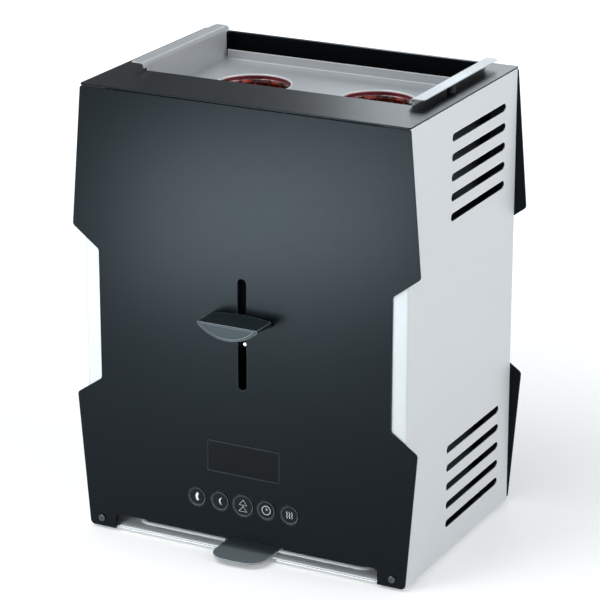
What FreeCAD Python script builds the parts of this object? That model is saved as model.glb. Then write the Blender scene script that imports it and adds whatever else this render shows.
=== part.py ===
# A table-top sausage toaster, with two upright wire cages that hang from a lift-out sheet-metal insert. A
# lever on the front raises and lowers a rest in each cage, on a sprung carriage, between flat heater cards.
# Fat drips into a shallow tray that pulls out at the front under the panel.
# Millimetres. +Z is up, -Y is the front, and the origin lies on the table under the middle of the whole
# object. A depth is counted from the face of the front panel, and a height from the table.
import FreeCAD, Part
import math
import os

V = FreeCAD.Vector

# The housing
body_depth = 188.0
body_height = 344.0
foot_drop = 2.0
lift_bay = 60.0
rear_bay = 11.4
panel_sheet = 1.2
shell_sheet = 0.8
shell_bend = 0.9
shell_flange = 21.0
shell_lid_gap = 1.5
top_corner = 2.0
shadow_gap = 0.6
sheet_play = 0.3

# The winged outline of the front and rear panels: reaches beyond the sides, and heights from the nearer end
shoulder_reach = 9.0
shoulder_drop = 107.5
waist_inset = 12.5
waist_top_drop = 123.7
waist_bottom_rise = 119.7
hip_reach = 8.5
hip_rise = 105.3
wing_corner = 3.5
waist_corner = 3.0
panel_top_corner = 1.7
panel_return = 11.0
panel_return_inset = 27.0

# Vent slots in the side panels
vent_count = 5
vent_length = 95.0
vent_width = 6.2
vent_pitch = 14.7
vent_offset = 2.5
upper_vent_drop = 54.5
lower_vent_rise = 53.0

# The lift-out insert, its round wells and the opening that takes it
well_spacing = 102.0
well_radius = 28.0
well_forward = 3.3
well_neck = 6.0
collar_sheet = 0.8
collar_round = 0.5
insert_sheet = 0.8
insert_bend = 2.2
insert_sink = 18.0
insert_wall_border = 1.5
insert_handle_end = 4.5
insert_handle_width = 10.6
insert_handle_rise = 6.0
insert_handle_corner = 3.0
insert_lip = 7.0
insert_lip_inset = 3.2
insert_relief = 1.0
insert_overhang = 0.8
opening_reach = 7.0
opening_side_gap = 2.1
opening_front_gap = 1.5
opening_collar = 16.0
opening_corner = 3.0
bumper_radius = 3.2
bumper_round = 0.9
bumper_stem_radius = 1.9
bumper_barb = 0.6
bumper_barb_height = 1.6
bumper_offset = -17.0
bumper_inset = 1.0

# The wire cages
cage_wire_radius = 1.0
cage_wire_count = 13
cage_gap_angle = 56.0
cage_wire_inset = 3.0
cage_below_arm = 6.5
cage_ring_width = 1.6
cage_ring_height = 2.4
cage_above_arm = 42.0
cage_weld_gap = 0.02

# The heating chamber
chamber_side_border = 9.6
chamber_sheet = 0.6
chamber_bend = 1.2
chamber_return = 6.6
chamber_foot_width = 8.4
chamber_foot_inset = 10.0
chamber_tray_gap = 4.1
card_clearance = 18.0
card_sheet = 0.8
card_below_cage = 4.0
card_top_gap = 8.9
card_edge_gap = 6.0
card_tab_height = 8.0
card_tab_inset = 4.0
card_tab_reach = 2.0
card_slot_play = 0.2
winding_pitch = 14.0
winding_height = 2.0
winding_sheet = 0.3
winding_border = 20.0

# The lift: lever, carriage and sausage rests at their resting height
lift_up = 27.0
lift_down = 48.5
knob_top = 189.2
knob_width = 48.0
knob_reach = 22.5
knob_gap = 0.8
knob_front_height = 11.4
knob_front_tip = 1.7
knob_front_crown = 0.1
knob_root_height = 6.6
knob_root_tip = 4.4
knob_root_crown = 1.7
knob_face_margin = 1.3
knob_face_end_margin = 2.9
knob_face_recess = 0.8
stem_drop = 3.4
stem_width = 4.8
stem_height = 4.8
stem_socket = 12.0
stem_foot_width = 13.0
stem_foot_rise = 4.4
stem_foot_sheet = 2.0
stem_foot_end = 5.2
stem_tab_width = 6.0
stem_tab_sheet = 1.6
stem_tab_depth = 5.0
stem_tab_end = 2.6
rivet_drop = 19.0
rivet_radius = 0.8
rivet_head_radius = 1.4
rivet_head_height = 1.0
rivet_tail_height = 0.6
rivet_round = 0.4
slot_side_gap = 1.25
slot_end_gap = 2.4
lever_screw_drop = 17.8
carriage_sheet = 1.5
carriage_depth = 22.0
carriage_rise = 22.2
carriage_drop = 27.8
carriage_side = 8.0
carriage_wing_side = 5.0
carriage_wing_height = 20.0
carriage_ear_end = 10.5
rod_radius = 2.5
rod_spacing = 56.0
rod_setback = 9.0
rod_end = 3.0
rod_play = 0.1
bush_wall = 1.4
bush_flange_reach = 1.6
bush_flange = 1.0
bush_end = 1.5
arm_sheet = 1.5
arm_height = 10.0
arm_rise = 1.2
arm_tab = 7.0
arm_end = 12.0
arm_slot_play = 3.2
arm_rivet_radius = 1.4
arm_rivet_head = 1.0
rest_gap = 4.4
rest_sheet = 1.2
rest_rim = 3.0
rest_drain_radius = 2.6
rest_drain_count = 6
rest_drain_circle = 12.0
bracket_sheet = 1.5
bracket_tab = 12.0
bracket_front_gap = 2.0
spring_radius = 4.0
spring_wire = 0.55
spring_turns = 12
spring_setback = 11.0
spring_peg_gap = 0.35
spring_peg_length = 7.0
spring_way_gap = 1.4
spring_headroom = 6.0
spring_rise = 30.0
anchor_half_width = 9.0
magnet_setback = 4.0
magnet_half_width = 9.0
magnet_coil_height = 10.5
magnet_core_half_width = 3.0
magnet_core_height = 14.1
magnet_clearance = 0.4
armature_half_width = 10.0
armature_half_depth = 6.0
armature_sheet = 2.0

# The control panel
window_width = 59.0
window_height = 23.8
window_middle = 77.0
window_recess = 0.3
window_gap = 0.2
window_flange = 2.0
window_flange_sheet = 1.0
button_height = 42.2
button_radius = 7.7
start_button_radius = 8.9
button_gap = 0.35
button_proud = 0.9
button_dish = 0.45
button_rim = 1.3
button_round = 0.4
button_flange = 1.1
button_flange_gap = 0.35
button_flange_sheet = 1.2
button_seat_gap = 0.3
button_stem_radius = 2.6
button_travel = 1.0
guide_setback = 1.3
guide_sheet = 1.5
guide_side = 4.0
guide_border = 3.0
guide_post_radius = 2.4
guide_stem_play = 0.4
board_depth = 13.0
board_sheet = 1.6
board_side = 4.0
board_below_guide = 7.2
board_above_window = 5.5
board_screw_radius = 1.1
board_screw_head_radius = 2.3
board_screw_head_height = 1.2
board_screw_bite = 4.0
switch_size = 6.0
switch_body = 2.2
switch_plunger = 1.35
switch_plunger_radius = 1.7
switch_gap = 0.05
display_side = 1.75
relay_size = (20.0, 15.0, 16.0)
relay_x = 24.0
transformer_size = (26.0, 17.0, 24.0)
transformer_x = -23.0
chip_size = (18.0, 2.0, 12.0)
chip_x = 17.0
capacitor_radius = 4.5
capacitor_length = 12.0
capacitor_x = (-24.0, -8.0)
component_rise = 8.0
upper_component_rise = 38.0

# The drip tray
cutout_height = 12.4
cutout_corner = 4.0
cutout_flange_gap = 1.0
tray_sheet = 0.8
tray_clearance = 0.3
tray_side_gap = 2.0
tray_rear_gap = 2.0
tray_top_gap = 2.5
tray_wall_depth = 28.0
tray_corner = 5.0
apron_setback = 0.4
apron_side_gap = 1.6
apron_corner = 2.0
apron_length = 32.0
bead_depth = 14.5
bead_radius = 2.4
bead_corner = 7.0
bead_end = 8.0
tongue_width = 43.0
tongue_reach = 18.5
tongue_sheet = 1.0
tongue_corner = 14.0
tongue_gap = 1.1
tongue_notch_depth = 27.0
tongue_weld = 15.0
guide_rail_height = 5.0
guide_rail_sheet = 1.0
guide_rail_foot = 5.0
guide_rail_gap = 1.0
guide_rail_front_gap = 2.0
guide_rail_rear_gap = 2.0

# The base, feet, cord outlet and fasteners
base_sheet = 1.0
base_bottom = 2.2
base_flange = 10.0
base_apron_setback = 0.6
base_apron_gap = 3.6
finger_notch_side = 4.5
finger_notch_depth = 22.0
finger_notch_corner = 6.0
foot_radius = 8.0
foot_taper = 1.2
foot_stem_radius = 2.4
foot_stem = 2.6
foot_inset = 10.0
foot_end_inset = 17.0
screw_radius = 1.5
screw_play = 0.1
screw_head_radius = 2.75
screw_head_height = 1.5
panel_screw_inset = 10.0
panel_screw_rise = 6.6
panel_screw_length = 7.0
gland_inset = 41.0
gland_rise = 22.0
gland_bore_radius = 3.6
gland_body_radius = 6.0
gland_lip_radius = 8.5
gland_lip = 2.5
gland_inside = 4.0
gland_barb = 1.2
gland_taper = 1.0
terminal_width = 11.0
terminal_length = 30.0
terminal_height = 14.0
terminal_gap = 1.0
terminal_wall_gap = 2.2
terminal_setback = 17.0
terminal_ways = 3
terminal_way_radius = 2.0

# How far a cutter runs past the face it cuts, and the shortest edge worth making
past = 1.0
smallest_edge = 0.000001

# Widths that follow from the sizes above
well_offset = well_spacing / 2
card_offset = well_offset + well_radius + card_clearance
chamber_half_width = card_offset + chamber_side_border
insert_half_width = chamber_half_width + insert_overhang
opening_half_width = insert_half_width + opening_side_gap
side_bay = chamber_foot_width + terminal_gap + terminal_width + terminal_wall_gap + base_sheet + shell_sheet
half_width = chamber_half_width + side_bay
shell_inner = half_width - shell_sheet
flange_edge = half_width - shell_flange
bumper_x = insert_half_width + insert_handle_width - bumper_inset
lid_edge = bumper_x + bumper_stem_radius + bumper_barb + shell_lid_gap
panel_screw_x = half_width - panel_screw_inset
foot_x = half_width - foot_inset
cutout_half_width = flange_edge - cutout_flange_gap
base_apron_half_width = flange_edge - base_apron_gap
apron_half_width = cutout_half_width - apron_side_gap
tray_half_width = chamber_half_width - chamber_return - tray_side_gap
tongue_half_width = tongue_width / 2
notch_half_width = tongue_half_width + tongue_gap
rod_x = rod_spacing / 2
carriage_half_width = rod_x + carriage_side
ring_inner = well_radius - cage_ring_width
wire_circle = ring_inner - cage_wire_radius - cage_weld_gap
rest_radius = wire_circle - cage_wire_radius - rest_gap
slot_width = stem_width + 2 * slot_side_gap
window_half_width = window_width / 2
window_half_height = window_height / 2
button_spacing = start_button_radius + button_radius + 2 * button_flange + button_flange_gap
guide_half_width = 2 * button_spacing + button_radius + guide_side
guide_half_height = start_button_radius + button_flange + guide_border
board_half_width = guide_half_width + board_side
gland_x = -(half_width - gland_inset)

# Depths that follow
chamber_rear_depth = body_depth - rear_bay
well_depth = (lift_bay + chamber_rear_depth) / 2 - well_forward
front_y = (knob_reach - body_depth - gland_lip) / 2
lift_bay_end = lift_bay - chamber_sheet
opening_front = lift_bay - opening_reach
insert_half_wall = well_depth - opening_front - opening_front_gap
insert_half_floor = insert_half_wall - insert_wall_border
insert_half_handle = insert_half_wall + insert_handle_end
opening_rear = body_depth - 2 * panel_sheet - shell_sheet
base_front_depth = panel_sheet + shell_sheet + shell_bend + sheet_play
base_rear_depth = body_depth - panel_sheet - shell_sheet - shell_bend
base_apron_depth = panel_sheet + base_apron_setback
tray_front_depth = base_apron_depth + apron_setback
apron_rear_depth = tray_front_depth + apron_length
tray_rear_depth = chamber_rear_depth - chamber_sheet - tray_rear_gap
rod_depth = carriage_depth + rod_setback
spring_depth = carriage_depth + spring_setback
magnet_depth = rod_depth + magnet_setback
carriage_back = carriage_depth + carriage_sheet
button_seat = panel_sheet + button_seat_gap
guide_depth = button_seat + button_flange_sheet + button_travel + guide_setback
switch_face = board_depth - switch_body - switch_plunger
button_tip_depth = switch_face - switch_gap - button_travel
board_back = board_depth + board_sheet
display_depth = panel_sheet + window_flange_sheet

# Heights that follow
top = foot_drop + body_height
plate_underside = top - panel_sheet
panel_top = plate_underside - shadow_gap
panel_screw_z = foot_drop + panel_screw_rise
base_top = base_bottom + base_sheet
floor_top = top - insert_sink
floor_underside = floor_top - insert_sheet
handle_underside = top + insert_handle_rise - insert_sheet
chamber_top = floor_underside - sheet_play
cage_top = floor_top - well_neck
card_top = chamber_top - card_top_gap
stem_middle = knob_top - stem_drop
stem_half = stem_height / 2
slot_top = stem_middle + stem_half + lift_up + slot_end_gap
slot_bottom = stem_middle - stem_half - lift_down - slot_end_gap
lever_screw_z = stem_middle - lever_screw_drop
rivet_z = stem_middle - rivet_drop
carriage_top = stem_middle + carriage_rise
carriage_bottom = stem_middle - carriage_drop
arm_top = stem_middle + arm_rise
arm_bottom = arm_top - arm_height
arm_middle = (arm_top + arm_bottom) / 2
cage_bottom = arm_bottom - lift_down - cage_below_arm
cage_upper_ring_z = arm_top + lift_up + cage_above_arm
cage_lower_ring_z = (cage_bottom + cage_upper_ring_z) / 2
card_bottom = cage_bottom - card_below_cage
upper_bracket_z = carriage_top + spring_peg_length + lift_up + spring_headroom
anchor_z = upper_bracket_z + spring_rise
magnet_top = carriage_bottom - lift_down - armature_sheet - magnet_clearance
magnet_bottom = magnet_top - magnet_core_height
lower_bracket_z = magnet_bottom - bracket_sheet
tray_floor_bottom = base_top + tray_clearance
tray_floor_top = tray_floor_bottom + tray_sheet
tray_top = foot_drop + cutout_height - tray_top_gap
chamber_front_bottom = tray_top + chamber_tray_gap
window_bottom = window_middle - window_half_height
window_top = window_middle + window_half_height
board_bottom = button_height - guide_half_height - board_below_guide
board_top = window_top + board_above_window
gland_z = foot_drop + gland_rise


def at(depth):
    """The Y of a depth behind the face of the front panel."""
    return front_y + depth


def box(x0, x1, d0, d1, z0, z1):
    """A block between two X values, two depths and two heights."""
    return Part.makeBox(x1 - x0, d1 - d0, z1 - z0, V(x0, at(d0), z0))


def side_box(side, x0, x1, d0, d1, z0, z1):
    """A block between two distances from the middle, on the left or the right."""
    low, high = sorted((side * x0, side * x1))
    return box(low, high, d0, d1, z0, z1)


def upright(radius, x, depth, z0, z1):
    """A vertical cylinder."""
    return Part.makeCylinder(radius, z1 - z0, V(x, at(depth), z0), V(0, 0, 1))


def across(radius, x, z, d0, d1):
    """A cylinder that runs from front to back."""
    return Part.makeCylinder(radius, d1 - d0, V(x, at(d0), z), V(0, 1, 0))


def joined(shapes):
    """One solid from several that meet or overlap."""
    return shapes[0].multiFuse(shapes[1:]).removeSplitter()


def less(shape, cutters):
    """A shape with holes or notches cut out of it."""
    return shape.cut(Part.makeCompound(cutters))


def group(shapes):
    """Separate solids that share a node."""
    return Part.makeCompound(shapes)


def mirrored(right, side):
    """A right-hand shape, turned over to the left where the side asks for it."""
    return right if side > 0 else right.mirror(V(0, 0, 0), V(1, 0, 0))


def in_plan(z):
    """Places outline points (x, depth) at a height."""
    return lambda p: V(p[0], at(p[1]), z)


def in_front(depth):
    """Places outline points (x, z) at a depth."""
    return lambda p: V(p[0], at(depth), p[1])


def rounded_corner(before, point, after, radius):
    """The start, middle and end of the arc that rounds a corner."""
    if radius <= 0:
        return point, None, point
    a = V(before[0] - point[0], before[1] - point[1], 0).normalize()
    b = V(after[0] - point[0], after[1] - point[1], 0).normalize()
    half = a.getAngle(b) / 2
    reach = radius / math.tan(half)
    bulge = (a + b).normalize() * (radius / math.sin(half) - radius)
    start = (point[0] + a.x * reach, point[1] + a.y * reach)
    end = (point[0] + b.x * reach, point[1] + b.y * reach)
    return start, (point[0] + bulge.x, point[1] + bulge.y), end


def outline(points, radii, place):
    """A closed wire through points, with rounded corners; one radius serves them all."""
    count = len(points)
    if not isinstance(radii, list):
        radii = [radii] * count
    corners = [
        rounded_corner(points[i - 1], points[i], points[(i + 1) % count], radii[i]) for i in range(count)
    ]
    edges = []
    for i, (start, middle, end) in enumerate(corners):
        if middle is not None:
            edges.append(Part.Arc(place(start), place(middle), place(end)).toShape())
        following = corners[(i + 1) % count][0]
        if math.dist(end, following) > smallest_edge:
            edges.append(Part.LineSegment(place(end), place(following)).toShape())
    return Part.Wire(edges)


def prism(points, radii, place, direction):
    """A solid pushed out from a rounded outline."""
    return Part.Face(outline(points, radii, place)).extrude(direction)


def plan_prism(x, d0, d1, radii, z0, z1):
    """A symmetric rounded rectangle in plan, pushed up; radii go round from the front left."""
    return prism([(-x, d0), (x, d0), (x, d1), (-x, d1)], radii, in_plan(z0), V(0, 0, z1 - z0))


def turned_across(x, z, profile, radii):
    """A solid of revolution about a line from front to back; the profile lists (radius, depth)."""
    face = Part.Face(outline(profile, radii, lambda p: V(x + p[0], at(p[1]), z)))
    return face.revolve(V(x, 0, z), V(0, 1, 0), 360)


def turned_upright(x, depth, profile, radii):
    """A solid of revolution about a vertical line; the profile lists (radius, height)."""
    face = Part.Face(outline(profile, radii, lambda p: V(x + p[0], at(depth), p[1])))
    return face.revolve(V(x, at(depth), 0), V(0, 0, 1), 360)


def folded_sheet(path, sheet, bend, place, direction):
    """Sheet metal folded along a path of points; the path is one face and the sheet lies to its left."""
    steps = [V(b[0] - a[0], b[1] - a[1], 0).normalize() for a, b in zip(path, path[1:])]
    offset, path_radii, offset_radii = [], [], []
    for p, arriving, leaving in zip(path, steps[:1] + steps, steps + steps[-1:]):
        left_in, left_out = V(-arriving.y, arriving.x, 0), V(-leaving.y, leaving.x, 0)
        miter = (left_in + left_out).normalize()
        reach = sheet / miter.dot(left_in)
        offset.append((p[0] + miter.x * reach, p[1] + miter.y * reach))
        turn = arriving.cross(leaving).z
        path_radii.append(bend + sheet if turn > 0 else bend if turn < 0 else 0)
        offset_radii.append(bend if turn > 0 else bend + sheet if turn < 0 else 0)
    return prism(path + offset[::-1], path_radii + offset_radii[::-1], place, direction)


def vent_slot(z):
    """A round-ended cutter through the right side panel."""
    r = vent_width / 2
    middle = well_depth + vent_offset
    ends = [middle - vent_length / 2 + r, middle + vent_length / 2 - r]
    x0, x1 = shell_inner - past, half_width + past
    caps = [Part.makeCylinder(r, x1 - x0, V(x0, at(d), z), V(1, 0, 0)) for d in ends]
    return joined([box(x0, x1, ends[0], ends[1], z - r, z + r)] + caps)


def winged_blank(depth):
    """The flat blank of a front or rear panel, with its shoulders, waist and hips."""
    right = [
        (half_width, foot_drop),
        (half_width + hip_reach, foot_drop + hip_rise),
        (half_width - waist_inset, foot_drop + waist_bottom_rise),
        (half_width - waist_inset, top - waist_top_drop),
        (half_width + shoulder_reach, top - shoulder_drop),
        (half_width, panel_top),
    ]
    left = [(-x, z) for x, z in reversed(right)]
    radii = [wing_corner, wing_corner, waist_corner, waist_corner, wing_corner, panel_top_corner]
    return prism(right + left, radii + radii[::-1], in_front(depth), V(0, panel_sheet, 0))


def panel_screw_holes(depth, sheet):
    """Cutters for the two screws at the foot of a panel."""
    r, z = screw_radius + screw_play, panel_screw_z
    return [across(r, side * panel_screw_x, z, depth - past, depth + sheet + past) for side in (-1, 1)]


def button_places():
    """X, cap radius and node name of each button, from left to right."""
    small = button_radius
    named_radii = [
        ("thick_sausage", small),
        ("thin_sausage", small),
        ("start", start_button_radius),
        ("timer", small),
        ("defrost", small),
    ]
    first = -(len(named_radii) // 2)
    return [(i * button_spacing, r, name + "_button") for i, (name, r) in enumerate(named_radii, first)]


def front_panel():
    """The winged front sheet, with its top fold, lever slot, window, button holes and tray cut-out."""
    d0, d1 = -past, panel_sheet + past
    half_fold = half_width - panel_return_inset
    fold = box(-half_fold, half_fold, 0, panel_return, panel_top - panel_sheet, panel_top)
    r = slot_width / 2
    slot = [box(-r, r, d0, d1, slot_bottom + r, slot_top - r)]
    slot += [across(r, 0, z, d0, d1) for z in (slot_bottom + r, slot_top - r)]
    window = box(-window_half_width, window_half_width, d0, d1, window_bottom, window_top)
    holes = [across(radius + button_gap, x, button_height, d0, d1) for x, radius, _ in button_places()]
    w, low, high = cutout_half_width, foot_drop - cutout_height, foot_drop + cutout_height
    mouth = [(-w, low), (w, low), (w, high), (-w, high)]
    cutout = prism(mouth, cutout_corner, in_front(d0), V(0, d1 - d0, 0))
    cutters = slot + holes + [window, cutout] + panel_screw_holes(0, panel_sheet)
    return less(joined([winged_blank(0), fold]), cutters)


def rear_panel():
    """The winged rear sheet, plain but for the hole of the cord grommet."""
    inner = body_depth - panel_sheet
    hole = across(gland_body_radius, gland_x, gland_z, inner - past, body_depth + past)
    return less(winged_blank(inner), [hole] + panel_screw_holes(inner, panel_sheet))


def side_panel(side):
    """A steel side with front and rear flanges, a flange under the top plate and two groups of vents."""
    t, high = shell_sheet, plate_underside
    d0, d1 = panel_sheet, body_depth - panel_sheet
    path = [(flange_edge, d0), (half_width, d0), (half_width, d1), (flange_edge, d1)]
    wrap = folded_sheet(path, t, shell_bend, in_plan(foot_drop), V(0, 0, high - foot_drop))
    edge = t + shell_bend
    lid = box(lid_edge, shell_inner + t / 2, d0 + edge, d1 - edge, high - t, high)
    vents = []
    for middle in (top - upper_vent_drop, foot_drop + lower_vent_rise):
        vents += [vent_slot(middle + (i - (vent_count - 1) / 2) * vent_pitch) for i in range(vent_count)]
    holes = panel_screw_holes(d0, t) + panel_screw_holes(d1 - t, t)
    return mirrored(less(joined([wrap, lid]), vents + holes), side)


def insert_opening(low, high, wall):
    """A block as wide and deep as the opening for the insert, larger all round by one wall."""
    d0, d1 = opening_front - wall, opening_rear + wall
    return plan_prism(opening_half_width + wall, d0, d1, opening_corner + wall, low, high)


def top_plate():
    """The painted top, with the opening for the insert and the holes for its bumpers."""
    low, high = plate_underside - past, top + past
    plate = plan_prism(half_width, 0, body_depth, top_corner, plate_underside, top)
    stems = [upright(bumper_stem_radius, side * bumper_x, bumper_depth(), low, high) for side in (-1, 1)]
    return less(plate, [insert_opening(low, high, 0)] + stems)


def opening_frame():
    """The frame welded under the top plate's opening, which hides the edges of the sheets below."""
    low = top - opening_collar
    block = insert_opening(low, plate_underside, panel_sheet)
    return less(block, [insert_opening(low - past, top, 0)])


def bumper_depth():
    """The depth at which the bumpers carry the insert's handles."""
    return well_depth + bumper_offset


def handle_bumpers():
    """Two rubber bumpers, pressed into the top plate, that carry the insert's handles."""
    barb_radius = bumper_stem_radius + bumper_barb
    head_top = handle_underside - sheet_play
    profile = [
        (0, head_top),
        (bumper_radius, head_top),
        (bumper_radius, top),
        (bumper_stem_radius, top),
        (bumper_stem_radius, plate_underside),
        (barb_radius, plate_underside),
        (bumper_stem_radius, plate_underside - bumper_barb_height),
        (0, plate_underside - bumper_barb_height),
    ]
    radii = [0, bumper_round, 0, 0, 0, 0, 0, 0]
    return group([turned_upright(side * bumper_x, bumper_depth(), profile, radii) for side in (-1, 1)])


def base_plate():
    """The floor of the housing, with side flanges and a finger notch under the tray's tongue."""
    low, high, t, w = base_bottom, base_top, base_sheet, shell_inner
    d0, d1 = base_front_depth, base_rear_depth
    plate = box(-w, w, d0, d1, low, high)
    front = box(-base_apron_half_width, base_apron_half_width, base_apron_depth, d1, low, high)
    flanges = [side_box(side, w - t, w, d0, d1, low, high + base_flange) for side in (-1, 1)]
    half, reach, c = tongue_half_width + finger_notch_side, finger_notch_depth, finger_notch_corner
    notch = plan_prism(half, -reach, reach, [0, 0, c, c], low - past, high + past)
    holes = [upright(foot_stem_radius, x, d, low - past, high + past) for x, d in foot_places()]
    return less(joined([plate, front] + flanges), holes + [notch])


def foot_places():
    """X and depth of the four feet."""
    return [(sx * foot_x, d) for sx in (-1, 1) for d in (foot_end_inset, body_depth - foot_end_inset)]


def rubber_feet():
    """Four round feet with stems pressed up through the base."""
    profile = [
        (0, 0),
        (foot_radius - foot_taper, 0),
        (foot_radius, base_bottom),
        (foot_stem_radius, base_bottom),
        (foot_stem_radius, base_top + foot_stem),
        (0, base_top + foot_stem),
    ]
    return group([turned_upright(x, d, profile, 0) for x, d in foot_places()])


def tray_guides():
    """Two angles on the base that the drip tray slides between."""
    x0 = tray_half_width + guide_rail_gap
    d0, d1 = apron_rear_depth + guide_rail_front_gap, tray_rear_depth - guide_rail_rear_gap
    made = []
    for side in (-1, 1):
        rail = side_box(side, x0, x0 + guide_rail_sheet, d0, d1, base_top, base_top + guide_rail_height)
        foot = side_box(side, x0, x0 + guide_rail_foot, d0, d1, base_top, base_top + guide_rail_sheet)
        made.append(joined([rail, foot]))
    return group(made)


def chamber_wrap():
    """The sides and back of the heating chamber, folded from one sheet that stands on the base."""
    w, f, r, t, low = chamber_half_width, lift_bay, chamber_rear_depth, chamber_sheet, base_top
    edge = w - chamber_return
    path = [(edge, f), (w, f), (w, r), (-w, r), (-w, f), (-edge, f)]
    wrap = folded_sheet(path, t, chamber_bend, in_plan(low), V(0, 0, chamber_top - low))
    foot_front, foot_rear = f + chamber_foot_inset, r - chamber_foot_inset
    gate_rear, gate_top = f + t + chamber_bend, chamber_front_bottom
    feet, gates = [], []
    for side in (-1, 1):
        feet.append(side_box(side, w - t / 2, w + chamber_foot_width, foot_front, foot_rear, low, low + t))
        gates.append(side_box(side, edge - past, w - t, f - past, gate_rear, low - past, gate_top))
    return less(joined([wrap] + feet), gates + card_slots(r - t - past, r + past))


def card_places():
    """X of the three heater cards and the side they are named after."""
    return [(-card_offset, "left"), (0.0, "centre"), (card_offset, "right")]


def card_tabs(play):
    """Height ranges of a card's tabs, or with a play above them, of the slots that they rest in."""
    lows = [card_bottom + card_tab_inset, card_top - card_tab_inset - card_tab_height]
    return [(z, z + card_tab_height + play) for z in lows]


def card_slots(d0, d1):
    """Cutters for the slots that the heater cards' tabs pass through."""
    t = card_sheet / 2 + card_slot_play
    heights = card_tabs(card_slot_play)
    return [box(x - t, x + t, d0, d1, z0, z1) for x, _ in card_places() for z0, z1 in heights]


def chamber_front():
    """The chamber's front wall, slotted for the two lift arms and for the heater cards' tabs."""
    w, d0, d1 = chamber_half_width, lift_bay_end - past, lift_bay + past
    wall = box(-w, w, lift_bay_end, lift_bay, chamber_front_bottom, chamber_top)
    half = arm_sheet / 2 + arm_slot_play
    low, high = arm_bottom - lift_down - arm_slot_play, arm_top + lift_up + arm_slot_play
    slots = [side_box(side, well_offset - half, well_offset + half, d0, d1, low, high) for side in (-1, 1)]
    return less(wall, slots + card_slots(d0, d1))


def heater_card(x):
    """A mica sheet that hangs between the chamber's front and rear walls by four tabs."""
    t = card_sheet / 2
    d0, d1 = lift_bay + card_edge_gap, chamber_rear_depth - card_edge_gap
    sheet = box(x - t, x + t, d0, d1, card_bottom, card_top)
    d0, d1 = lift_bay_end - card_tab_reach, chamber_rear_depth + card_tab_reach
    return joined([sheet] + [box(x - t, x + t, d0, d1, z0, z1) for z0, z1 in card_tabs(0)])


def heater_winding(x):
    """Loops of flat resistance ribbon wound round a card."""
    t, s = card_sheet / 2, winding_sheet
    d0, d1 = lift_bay + card_edge_gap, chamber_rear_depth - card_edge_gap
    first = card_bottom + winding_border
    turns = int((card_top - winding_border - first) / winding_pitch) + 1
    loops = []
    for i in range(turns):
        z = first + i * winding_pitch
        loop = box(x - t - s, x + t + s, d0 - s, d1 + s, z, z + winding_height)
        loops.append(loop.cut(box(x - t, x + t, d0, d1, z - past, z + winding_height + past)))
    return group(loops)


def wall_bracket(half, z, holes):
    """An angle on the chamber's front wall: a shelf towards the front, and a tab up the wall."""
    shelf = box(-half, half, bracket_front_depth(), lift_bay_end, z, z + bracket_sheet)
    tab = box(-half, half, lift_bay_end - bracket_sheet, lift_bay_end, z, z + bracket_tab)
    return less(joined([shelf, tab]), holes)


def bracket_front_depth():
    """The depth of the brackets' front edges, just behind the face of the carriage."""
    return carriage_depth + bracket_front_gap


def rod_holes(z):
    """Cutters for the two guide rods through a bracket's shelf."""
    return [upright(rod_radius, s * rod_x, rod_depth, z - past, z + bracket_sheet + past) for s in (-1, 1)]


def upper_rod_bracket():
    """The bracket that holds the tops of the guide rods and lets the lift spring through."""
    z, r = upper_bracket_z, spring_radius + spring_wire + spring_way_gap
    way = upright(r, 0, spring_depth, z - past, z + bracket_sheet + past)
    return wall_bracket(carriage_half_width, z, rod_holes(z) + [way])


def lower_rod_bracket():
    """The bracket that holds the feet of the guide rods and carries the magnet."""
    return wall_bracket(carriage_half_width, lower_bracket_z, rod_holes(lower_bracket_z))


def peg_radius():
    """The radius of the pegs that the lift spring's ends slip over."""
    return spring_radius - spring_wire - spring_peg_gap


def spring_anchor():
    """The bracket and peg that the top of the lift spring hangs from."""
    peg = upright(peg_radius(), 0, spring_depth, anchor_z - spring_peg_length, anchor_z + bracket_sheet)
    return joined([wall_bracket(anchor_half_width, anchor_z, [peg]), peg])


def guide_rods():
    """The two steel rods that the carriage runs on."""
    z0, z1 = lower_bracket_z - rod_end, upper_bracket_z + bracket_sheet + rod_end
    return group([upright(rod_radius, s * rod_x, rod_depth, z0, z1) for s in (-1, 1)])


def lift_spring():
    """The coil that holds the carriage up, between the carriage's peg and the anchor's peg."""
    w = spring_wire
    low, high = carriage_top + w, anchor_z - w
    helix = Part.makeHelix((high - low) / spring_turns, high - low, spring_radius)
    square = [(-w, -w), (w, -w), (w, w), (-w, w)]
    section = outline(square, 0, lambda p: V(spring_radius + p[0], 0, p[1]))
    coil = Part.Wire(helix.Edges).makePipeShell([section], True, True)
    coil.translate(V(0, at(spring_depth), low))
    return coil


def magnet_core():
    """The iron core, whose top face catches the armature when the lever is down."""
    c, d = magnet_core_half_width, magnet_depth
    return box(-c, c, d - c, d + c, magnet_bottom, magnet_top)


def magnet_coil():
    """The wound coil round the core, on the lower rod bracket."""
    w, d = magnet_half_width, magnet_depth
    return box(-w, w, d - w, d + w, magnet_bottom, magnet_bottom + magnet_coil_height).cut(magnet_core())


def post_places():
    """X and height of the posts that hold the board behind the panel."""
    x, z = guide_half_width - guide_post_radius, guide_half_height - guide_post_radius
    return [(sx * x, button_height + sz * z) for sx in (-1, 1) for sz in (-1, 1)]


def control_board():
    """The circuit board, screwed to the button guide's posts."""
    w, d0, d1 = board_half_width, board_depth, board_back
    board = box(-w, w, d0, d1, board_bottom, board_top)
    return less(board, [across(board_screw_radius, x, z, d0 - past, d1 + past) for x, z in post_places()])


def board_block(x, rise, size):
    """A component on the back of the board, by its middle, its rise above the board's edge and its size."""
    width, depth, height = size
    z = board_bottom + rise
    return box(x - width / 2, x + width / 2, board_back, board_back + depth, z, z + height)


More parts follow.
